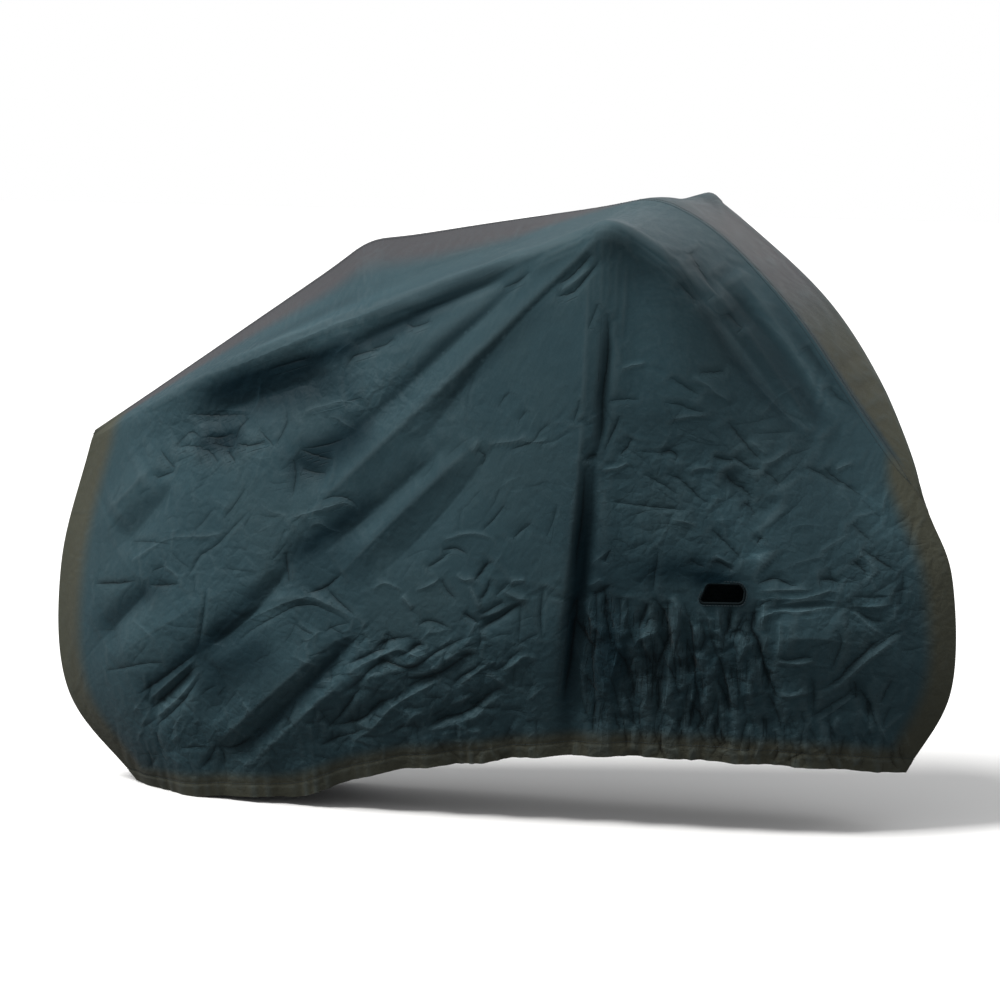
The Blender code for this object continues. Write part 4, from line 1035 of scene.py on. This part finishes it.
def slotOutline(grow):                          # the opening's outline, grown all round
    points = []
    corners = slot["corners"]
    for i, (a, b, radius) in enumerate(corners):
        corner = Vector((a, b))
        before = (corner - Vector(corners[i - 1][:2])).normalized()
        after = (Vector(corners[(i + 1) % len(corners)][:2]) - corner).normalized()
        inBefore, inAfter = Vector((-before.y, before.x)), Vector((-after.y, after.x))
        centre = corner + (inBefore + inAfter) * radius / (1 + inBefore.dot(inAfter))
        start = math.atan2(-inBefore.y, -inBefore.x)
        turn = abs(before.angle_signed(after))
        for step in range(slot["cornerSteps"]):
            angle = start + turn * step / (slot["cornerSteps"] - 1)
            reach = radius + grow
            points.append((centre.x + reach * math.cos(angle), centre.y + reach * math.sin(angle)))
    return points


def slotPlace(a, b, out):
    forward = Vector((1.0, slot["heading"], 0.0)).normalized()
    outward = Vector((slot["heading"], -1.0, 0.0)).normalized()
    return Vector(slot["centre"]) + forward * a + Vector((0.0, 0.0, 1.0)) * b + outward * out


def cutSlot(cloth):
    outline = slotOutline(slot["cutRun"] * slot["bindingRadius"])
    count, half = len(outline), slot["cutDepth"] / 2
    points = [slotPlace(a, b, out) for out in (half, -half) for a, b in outline]
    faces = [list(range(count)), list(range(2 * count - 1, count - 1, -1))]
    for i in range(count):
        j = (i + 1) % count
        faces.append([i, i + count, j + count, j])
    mesh = bpy.data.meshes.new("slotCutter")
    mesh.from_pydata(points, [], faces)
    cutter = bpy.data.objects.new("slotCutter", mesh)
    scene.collection.objects.link(cutter)
    cut = cloth.modifiers.new("slot", "BOOLEAN")
    cut.operation = "DIFFERENCE"
    cut.solver = "EXACT"
    cut.object = cutter
    applyModifiers(cloth)
    bpy.data.objects.remove(cutter, do_unlink=True)


def applyModifiers(thing):
    graph = bpy.context.evaluated_depsgraph_get()
    mesh = bpy.data.meshes.new_from_object(thing.evaluated_get(graph), depsgraph=graph)
    thing.modifiers.clear()
    mesh.name = thing.name
    thing.data = mesh


def evenLoop(points, count):                    # the closed outline in equal steps
    points = np.array(points + points[:1])
    places = np.concatenate([[0], np.cumsum(np.linalg.norm(np.diff(points, axis=0), axis=1))])
    t = np.linspace(0, places[-1], count, endpoint=False)
    return np.stack([np.interp(t, places, points[:, i]) for i in (0, 1)], axis=1)


def makeBinding():                              # tape rolled over the slot's edge
    look = {"around": 14, "along": 220, "thick": 0.0016, "wide": 0.0021, "pucker": 0.00018,
            "puckers": 44}
    ring = evenLoop(slotOutline(slot["bindingRadius"]), look["along"])
    run = np.roll(ring, -1, axis=0) - np.roll(ring, 1, axis=0)
    run /= np.linalg.norm(run, axis=1, keepdims=True)
    points = []
    for i, ((a, b), (c, d)) in enumerate(zip(ring, run)):
        swell = look["pucker"] * math.sin(2 * math.pi * i * look["puckers"] / look["along"])
        for k in range(look["around"]):
            turn = 2 * math.pi * k / look["around"]
            aside = (look["wide"] + swell) * math.cos(turn)
            out = (look["thick"] + swell) * math.sin(turn) - nearPanel["wall"] / 2
            points.append(slotPlace(a + d * aside, b - c * aside, out))
    faces = []
    for i in range(look["along"]):
        j = (i + 1) % look["along"]
        for k in range(look["around"]):
            m = (k + 1) % look["around"]
            faces.append([i * look["around"] + k, i * look["around"] + m,
                          j * look["around"] + m, j * look["around"] + k])
    mesh = bpy.data.meshes.new("slot_tape")
    mesh.from_pydata(points, [], faces)
    mesh.shade_smooth()
    tape = bpy.data.objects.new("slot_tape", mesh)
    scene.collection.objects.link(tape)
    return tape


cutSlot(nearCloth)
slotTape = makeBinding()
print("slot cut and bound")


def makeNode(tree, kind, inputs=None, **settings):
    node = tree.nodes.new(kind)
    for name, value in settings.items():
        setattr(node, name, value)
    for name, value in (inputs or {}).items():
        if isinstance(value, bpy.types.NodeSocket):
            tree.links.new(value, node.inputs[name])
        else:
            node.inputs[name].default_value = value
    return node


def maths(tree, operation, first, second=0.0):
    return makeNode(tree, "ShaderNodeMath", {0: first, 1: second}, operation=operation).outputs[0]


def clamped(value):
    value.node.use_clamp = True
    return value


def scaleShift(tree, value, scale, shift):      # value times scale, plus shift
    node = makeNode(tree, "ShaderNodeMath", {0: value, 1: scale, 2: shift}, operation="MULTIPLY_ADD")
    return node.outputs[0]


def mixColours(tree, share, first, second):
    mix = makeNode(tree, "ShaderNodeMix", {0: share, 6: first, 7: second}, data_type="RGBA")
    return mix.outputs[2]


def pointValue(tree, name):                     # an attribute that panelLooks laid on the cloth
    return makeNode(tree, "ShaderNodeAttribute", attribute_name=name).outputs["Fac"]


def bumpNormal(tree, shader, height):
    bump = makeNode(tree, "ShaderNodeBump", {"Height": height, "Strength": 1.0, "Distance": 1.0})
    tree.links.new(bump.outputs[0], shader.inputs["Normal"])


# colours in linear light; a scale and a shift are for a noise that runs from 0 to 1
clothLook = {"edge": (0.056, 0.058, 0.043, 1), "facet": (0.050, 0.050, 0.055, 1),
             "litAndWornColour": (0.070, 0.100, 0.110, 1), "shaded": (0.0016, 0.0120, 0.0185, 1),
             "shadedEdge": (0.014, 0.015, 0.010, 1), "shadeShare": -1.5, "darkest": 0.42,
             "litAndWornShare": 0.25, "creaseShade": 0.24, "hollowShade": 0.16,
             "lineWidth": 0.0023, "lineShade": 330,
             "cloudScale": 5.0, "cloudDetail": 4.0, "grainScale": 240.0, "grainDetail": 2.0,
             "edgeUneven": (0.35, -0.17), "grainShade": (0.22, 0.89), "dustShade": (0.30, 0.85),
             "roughness": (0.16, 0.42), "sheen": 0.03, "sheenRoughness": 0.45, "specular": 0.09,
             "crumpleScale": 22, "crumpleSlope": 0.22, "fineScale": 62, "fineSlope": 0.22,
             "crumpleWarp": 0.9, "warpScale": 0.6, "warpDetail": 2.0,
             "thread": 0.0011, "threadHeight": 0.00007}


def crumpleHeight(tree, place, scale, slope):   # the ridges between the cells of a warped pattern
    noise = {"Vector": place, "Scale": scale * clothLook["warpScale"], "Detail": clothLook["warpDetail"]}
    warp = makeNode(tree, "ShaderNodeTexNoise", noise)
    shift = makeNode(tree, "ShaderNodeVectorMath", {0: warp.outputs["Color"], 1: (0.5, 0.5, 0.5)},
                     operation="SUBTRACT")
    far = makeNode(tree, "ShaderNodeVectorMath",
                   {0: shift.outputs[0], "Scale": clothLook["crumpleWarp"] / scale}, operation="SCALE")
    moved = makeNode(tree, "ShaderNodeVectorMath", {0: place, 1: far.outputs[0]}, operation="ADD")
    cells = makeNode(tree, "ShaderNodeTexVoronoi", {"Vector": moved.outputs[0], "Scale": scale},
                     feature="DISTANCE_TO_EDGE")
    return maths(tree, "MULTIPLY", cells.outputs["Distance"], slope / scale)


def threadWave(tree, along):                    # one set of threads of the plain weave
    turn = maths(tree, "MULTIPLY", along, 2 * math.pi / clothLook["thread"])
    return maths(tree, "SINE", turn)


def weaveHeight(tree):
    threads = makeNode(tree, "ShaderNodeUVMap", uv_map="threads").outputs["UV"]
    split = makeNode(tree, "ShaderNodeSeparateXYZ", {0: threads}).outputs
    both = maths(tree, "MULTIPLY", threadWave(tree, split["X"]), threadWave(tree, split["Y"]))
    return maths(tree, "MULTIPLY", both, clothLook["threadHeight"])


def creaseLines(tree):                          # sharp lines from each channel's distance and strength
    total = maths(tree, "MULTIPLY", 0.0, 0.0)
    for k in range(drawnLines["channels"]):
        pair = makeNode(tree, "ShaderNodeAttribute", attribute_name=f"crease{k}").outputs["Vector"]
        parts = makeNode(tree, "ShaderNodeSeparateXYZ", {0: pair}).outputs
        away = maths(tree, "ABSOLUTE", parts["X"])
        line = maths(tree, "EXPONENT", maths(tree, "MULTIPLY", away, -1 / clothLook["lineWidth"]))
        total = maths(tree, "ADD", total, maths(tree, "MULTIPLY", line, parts["Y"]))
    return total


def clothColour(tree, colour, cloud, grain, creased):
    # the body colour: a painted grey reflection along the top, the greyer edge colour at the ends and
    # hem, paler with painted light and wear on the crests and seam, and deeper under painted shade
    look = clothLook
    wear, paintedShade = pointValue(tree, "wear"), pointValue(tree, "shade")
    edge = maths(tree, "ADD", pointValue(tree, "tint"), scaleShift(tree, cloud, *look["edgeUneven"]))
    edge = clamped(edge)
    body = mixColours(tree, pointValue(tree, "facet"), colour, look["facet"])
    body = mixColours(tree, edge, body, look["edge"])
    body = mixColours(tree, clamped(maths(tree, "MULTIPLY", wear, look["litAndWornShare"])), body, look["litAndWornColour"])
    # painted shade: below zero the colour mixes towards the shaded colours
    sunk = clamped(maths(tree, "MULTIPLY", maths(tree, "MINIMUM", paintedShade, 0.0), look["shadeShare"]))
    body = mixColours(tree, sunk, body, mixColours(tree, edge, look["shaded"], look["shadedEdge"]))
    # painted shade along the creases and in the hollows, painted shade and highlight along the drawn
    # crease lines, painted highlight where the shade strokes lighten, then an even grain and a little
    # dust
    deep = maths(tree, "MULTIPLY", maths(tree, "MINIMUM", wear, 0.0), look["creaseShade"])
    hollow = maths(tree, "MINIMUM", pointValue(tree, "hollow"), 0.0)
    broad = maths(tree, "MULTIPLY", hollow, look["hollowShade"])
    lined = scaleShift(tree, creased, look["lineShade"], 1.0)
    raised = maths(tree, "ADD", lined, maths(tree, "MAXIMUM", paintedShade, 0.0))
    light = maths(tree, "ADD", raised, maths(tree, "ADD", deep, broad))
    light = maths(tree, "MAXIMUM", light, look["darkest"])
    uneven = maths(tree, "MULTIPLY", scaleShift(tree, grain, *look["grainShade"]),
                   scaleShift(tree, cloud, *look["dustShade"]))
    light = maths(tree, "MULTIPLY", uneven, light)
    return makeNode(tree, "ShaderNodeVectorMath", {0: body, "Scale": light}, operation="SCALE").outputs[0]


def clothMaterial(name, colour):
    look = clothLook
    material = bpy.data.materials.new(name)
    material.use_nodes = True
    tree = material.node_tree
    shader = tree.nodes["Principled BSDF"]
    place = makeNode(tree, "ShaderNodeTexCoord").outputs["Object"]
    cloud = makeNode(tree, "ShaderNodeTexNoise", {"Vector": place, "Scale": look["cloudScale"],
                                                  "Detail": look["cloudDetail"]}).outputs["Fac"]
    grain = makeNode(tree, "ShaderNodeTexNoise", {"Vector": place, "Scale": look["grainScale"],
                                                  "Detail": look["grainDetail"]}).outputs["Fac"]
    creased = creaseLines(tree)
    final = clothColour(tree, colour, cloud, grain, creased)
    tree.links.new(final, shader.inputs["Base Color"])
    tree.links.new(scaleShift(tree, cloud, *look["roughness"]), shader.inputs["Roughness"])
    shader.inputs["Sheen Weight"].default_value = look["sheen"]
    shader.inputs["Sheen Roughness"].default_value = look["sheenRoughness"]
    shader.inputs["Specular IOR Level"].default_value = look["specular"]
    # fine crumple where the cloth is crushed, and the plain weave all over
    large = crumpleHeight(tree, place, look["crumpleScale"], look["crumpleSlope"])
    small = crumpleHeight(tree, place, look["fineScale"], look["fineSlope"])
    crushed = maths(tree, "MULTIPLY", maths(tree, "ADD", large, small), pointValue(tree, "crumple"))
    bumpNormal(tree, shader, maths(tree, "ADD", maths(tree, "ADD", crushed, weaveHeight(tree)), creased))
    return material


plainLook = {"darker": 0.7, "detail": 3.0, "height": 0.0002, "specular": 0.10}


def plainMaterial(name, colour, roughness, grain):
    material = bpy.data.materials.new(name)
    material.use_nodes = True
    tree = material.node_tree
    shader = tree.nodes["Principled BSDF"]
    place = makeNode(tree, "ShaderNodeTexCoord").outputs["Object"]
    noise = makeNode(tree, "ShaderNodeTexNoise", {"Vector": place, "Scale": grain,
                                                  "Detail": plainLook["detail"]}).outputs["Fac"]
    darker = tuple(plainLook["darker"] * c for c in colour[:3]) + (1,)
    tree.links.new(mixColours(tree, noise, darker, colour), shader.inputs["Base Color"])
    bumpNormal(tree, shader, maths(tree, "MULTIPLY", noise, plainLook["height"]))
    shader.inputs["Roughness"].default_value = roughness
    shader.inputs["Specular IOR Level"].default_value = plainLook["specular"]
    return material


nearMaterial = clothMaterial("nearCoatedCloth", (0.0250, 0.0535, 0.0655, 1))
farMaterial = clothMaterial("farCoatedCloth", (0.026, 0.044, 0.052, 1))
tapeMaterial = plainMaterial("ribbedTape", (0.005, 0.009, 0.011, 1), 0.90, 900)
threadMaterial = plainMaterial("sewingThread", (0.045, 0.058, 0.064, 1), 0.60, 2500)
nearCloth.data.materials.clear()
nearCloth.data.materials.append(nearMaterial)
farCloth.data.materials.append(farMaterial)
slotTape.data.materials.append(tapeMaterial)
print("materials made")


# stitches along the hem, the centre seam and the slot
stitching = {"spacing": 0.0052, "length": 0.0036, "radius": 0.00042, "seed": 5, "lift": 0.0003,
             "sides": 6, "least": (0.85, 0.85, 0.82), "most": (1.15, 1.15, 1.08), "seamStep": 0.007}


def stitchTree():                               # a stitch at every step of the lines it is given
    tree = bpy.data.node_groups.new("stitchRows", "GeometryNodeTree")
    face = tree.interface
    face.new_socket("Geometry", in_out="OUTPUT", socket_type="NodeSocketGeometry")
    face.new_socket("Geometry", in_out="INPUT", socket_type="NodeSocketGeometry")
    for name in ("Spacing", "Length", "Radius"):
        face.new_socket(name, in_out="INPUT", socket_type="NodeSocketFloat")
    face.new_socket("Seed", in_out="INPUT", socket_type="NodeSocketInt")
    face.new_socket("Thread", in_out="INPUT", socket_type="NodeSocketMaterial")
    start = makeNode(tree, "NodeGroupInput").outputs
    line = makeNode(tree, "GeometryNodeMeshToCurve", {"Mesh": start["Geometry"]})
    spots = makeNode(tree, "GeometryNodeCurveToPoints",
                     {"Curve": line.outputs[0], "Length": start["Spacing"]}, mode="LENGTH")
    body = makeNode(tree, "GeometryNodeMeshCylinder",
                    {"Vertices": stitching["sides"], "Radius": start["Radius"],
                     "Depth": start["Length"]})
    grow = makeNode(tree, "FunctionNodeRandomValue",
                    {"Min": stitching["least"], "Max": stitching["most"], "Seed": start["Seed"]},
                    data_type="FLOAT_VECTOR")
    aim = makeNode(tree, "FunctionNodeAlignRotationToVector",
                   {"Vector": spots.outputs["Tangent"]}, axis="Z")
    laid = makeNode(tree, "GeometryNodeInstanceOnPoints",
                    {"Points": spots.outputs["Points"], "Instance": body.outputs["Mesh"],
                     "Rotation": aim.outputs[0], "Scale": grow.outputs["Value"]})
    real = makeNode(tree, "GeometryNodeRealizeInstances", {"Geometry": laid.outputs[0]})
    dyed = makeNode(tree, "GeometryNodeSetMaterial",
                    {"Geometry": real.outputs[0], "Material": start["Thread"]})
    makeNode(tree, "NodeGroupOutput", {"Geometry": dyed.outputs[0]})
    return tree


def levelLine(grid, field, level):              # where a field of the grid reaches a level
    line = []
    values, points, outward = grid[field], grid["outer"], grid["outward"]
    for i in range(len(points)):
        column = values[i]
        past = np.nonzero(column < level)[0] if field == "above" else np.nonzero(column > level)[0]
        if len(past) == 0 or past[0] == 0:
            continue
        j = past[0]
        t = (level - column[j - 1]) / (column[j] - column[j - 1])
        spot = points[i, j - 1] * (1 - t) + points[i, j] * t
        line.append(spot + outward[i, j] * stitching["lift"])
    return line


def makeStitches(name, routes):
    points, edges = [], []
    for line in routes:
        first = len(points)
        points += [tuple(p) for p in line]
        edges += [(i, i + 1) for i in range(first, len(points) - 1)]
    mesh = bpy.data.meshes.new(name)
    mesh.from_pydata(points, edges, [])
    rows = bpy.data.objects.new(name, mesh)
    scene.collection.objects.link(rows)
    tree = stitchTree()
    modifier = rows.modifiers.new("stitches", "NODES")
    modifier.node_group = tree
    values = {"Spacing": stitching["spacing"], "Length": stitching["length"],
              "Radius": stitching["radius"], "Seed": stitching["seed"], "Thread": threadMaterial}
    for socket in tree.interface.items_tree:
        if socket.in_out == "INPUT" and socket.name in values:
            modifier[socket.identifier] = values[socket.name]
    applyModifiers(rows)
    return rows


def panelRoutes(grid):
    return [levelLine(grid, "above", hem["depth"]), levelLine(grid, "below", stitching["seamStep"])]


slotRound = slotOutline(slot["stitchRun"] * slot["bindingRadius"])
slotLine = [slotPlace(a, b, slot["stitchLift"]) for a, b in slotRound]
nearStitches = makeStitches("near_stitches", [*panelRoutes(nearGrid), slotLine + slotLine[:1]])
farStitches = makeStitches("far_stitches", panelRoutes(farGrid))
print("stitches sewn")


# what each piece rides, and which frame parts the cloth and tape replace
for piece, node, slotName in ((nearCloth, "near_panel", "near_cloth"),
                              (farCloth, "far_panel", "far_cloth"),
                              (slotTape, "lock_slot_binding", "binding_tape")):
    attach(piece, "root")
    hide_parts(node)
for piece, slotName in ((nearStitches, "near_cloth"), (farStitches, "far_cloth")):
    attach(piece, "root")


# floor, light and camera
studio = {"floorHalf": 14.0, "floorColour": (0.80, 0.80, 0.80, 1), "sky": (1.0, 1.0, 1.0, 1),
          "skyLow": -0.5, "skyHigh": 1.0, "glowLow": 0.17, "glowHigh": 0.78,
          "azimuth": 17.0, "elevation": 8.0, "distance": 8.0, "target": (0.012, 0.0, 0.565),
          "lens": 158.1, "sensor": 36.0}


def softSun(name, comesFrom, width, strength, colour):
    light = bpy.data.lights.new(name, "SUN")
    light.energy = strength
    light.angle = math.radians(width)
    light.color = colour
    lamp = bpy.data.objects.new(name, light)
    lamp.rotation_euler = Vector(comesFrom).to_track_quat("Z", "Y").to_euler()
    scene.collection.objects.link(lamp)


def makeFloor():
    half = studio["floorHalf"]
    mesh = bpy.data.meshes.new("studioFloor")
    corners = [(-half, -half), (half, -half), (half, half), (-half, half)]
    mesh.from_pydata([(a, b, cadLow.z) for a, b in corners], [], [[0, 1, 2, 3]])
    floor = bpy.data.objects.new("studioFloor", mesh)
    scene.collection.objects.link(floor)
    paper = bpy.data.materials.new("paleFloor")
    paper.use_nodes = True
    shader = paper.node_tree.nodes["Principled BSDF"]
    shader.inputs["Base Color"].default_value = studio["floorColour"]
    shader.inputs["Roughness"].default_value = 1.0
    shader.inputs["Specular IOR Level"].default_value = 0.0
    mesh.materials.append(paper)
    floor.visible_diffuse = False               # it throws no light back up at the cloth
    floor.visible_glossy = False


def makeWorld():                                # white to the eye, a soft light from above to the cloth
    world = bpy.data.worlds.new("studioWorld")
    world.use_nodes = True
    tree = world.node_tree
    sky = tree.nodes["Background"]
    seen = makeNode(tree, "ShaderNodeLightPath").outputs["Is Camera Ray"]
    way = makeNode(tree, "ShaderNodeTexCoord").outputs["Generated"]
    up = makeNode(tree, "ShaderNodeSeparateXYZ", {0: way}).outputs["Z"]
    glow = makeNode(tree, "ShaderNodeMapRange",
                    {"Value": up, "From Min": studio["skyLow"], "From Max": studio["skyHigh"],
                     "To Min": studio["glowLow"], "To Max": studio["glowHigh"]})
    tree.links.new(maths(tree, "MAXIMUM", seen, glow.outputs["Result"]), sky.inputs["Strength"])
    sky.inputs["Color"].default_value = studio["sky"]
    scene.world = world


def makeCamera():
    azimuth, elevation = math.radians(studio["azimuth"]), math.radians(studio["elevation"])
    back = Vector((math.sin(azimuth) * math.cos(elevation), -math.cos(azimuth) * math.cos(elevation),
                   math.sin(elevation)))
    lens = bpy.data.cameras.new("studioCamera")
    lens.lens = studio["lens"]
    lens.sensor_width = studio["sensor"]
    camera = bpy.data.objects.new("studioCamera", lens)
    camera.location = Vector(studio["target"]) + back * studio["distance"]
    camera.rotation_euler = (-back).to_track_quat("-Z", "Y").to_euler()
    scene.collection.objects.link(camera)
    scene.camera = camera


makeFloor()
makeWorld()
softSun("key", (-0.50, -0.43, 1.0), 22, 4.3, (1.0, 0.99, 0.97))
softSun("fill", (0.10, 1.0, 0.32), 40, 0.40, (0.97, 0.98, 1.0))
makeCamera()
scene.view_settings.view_transform = "Standard"
print("studio set")
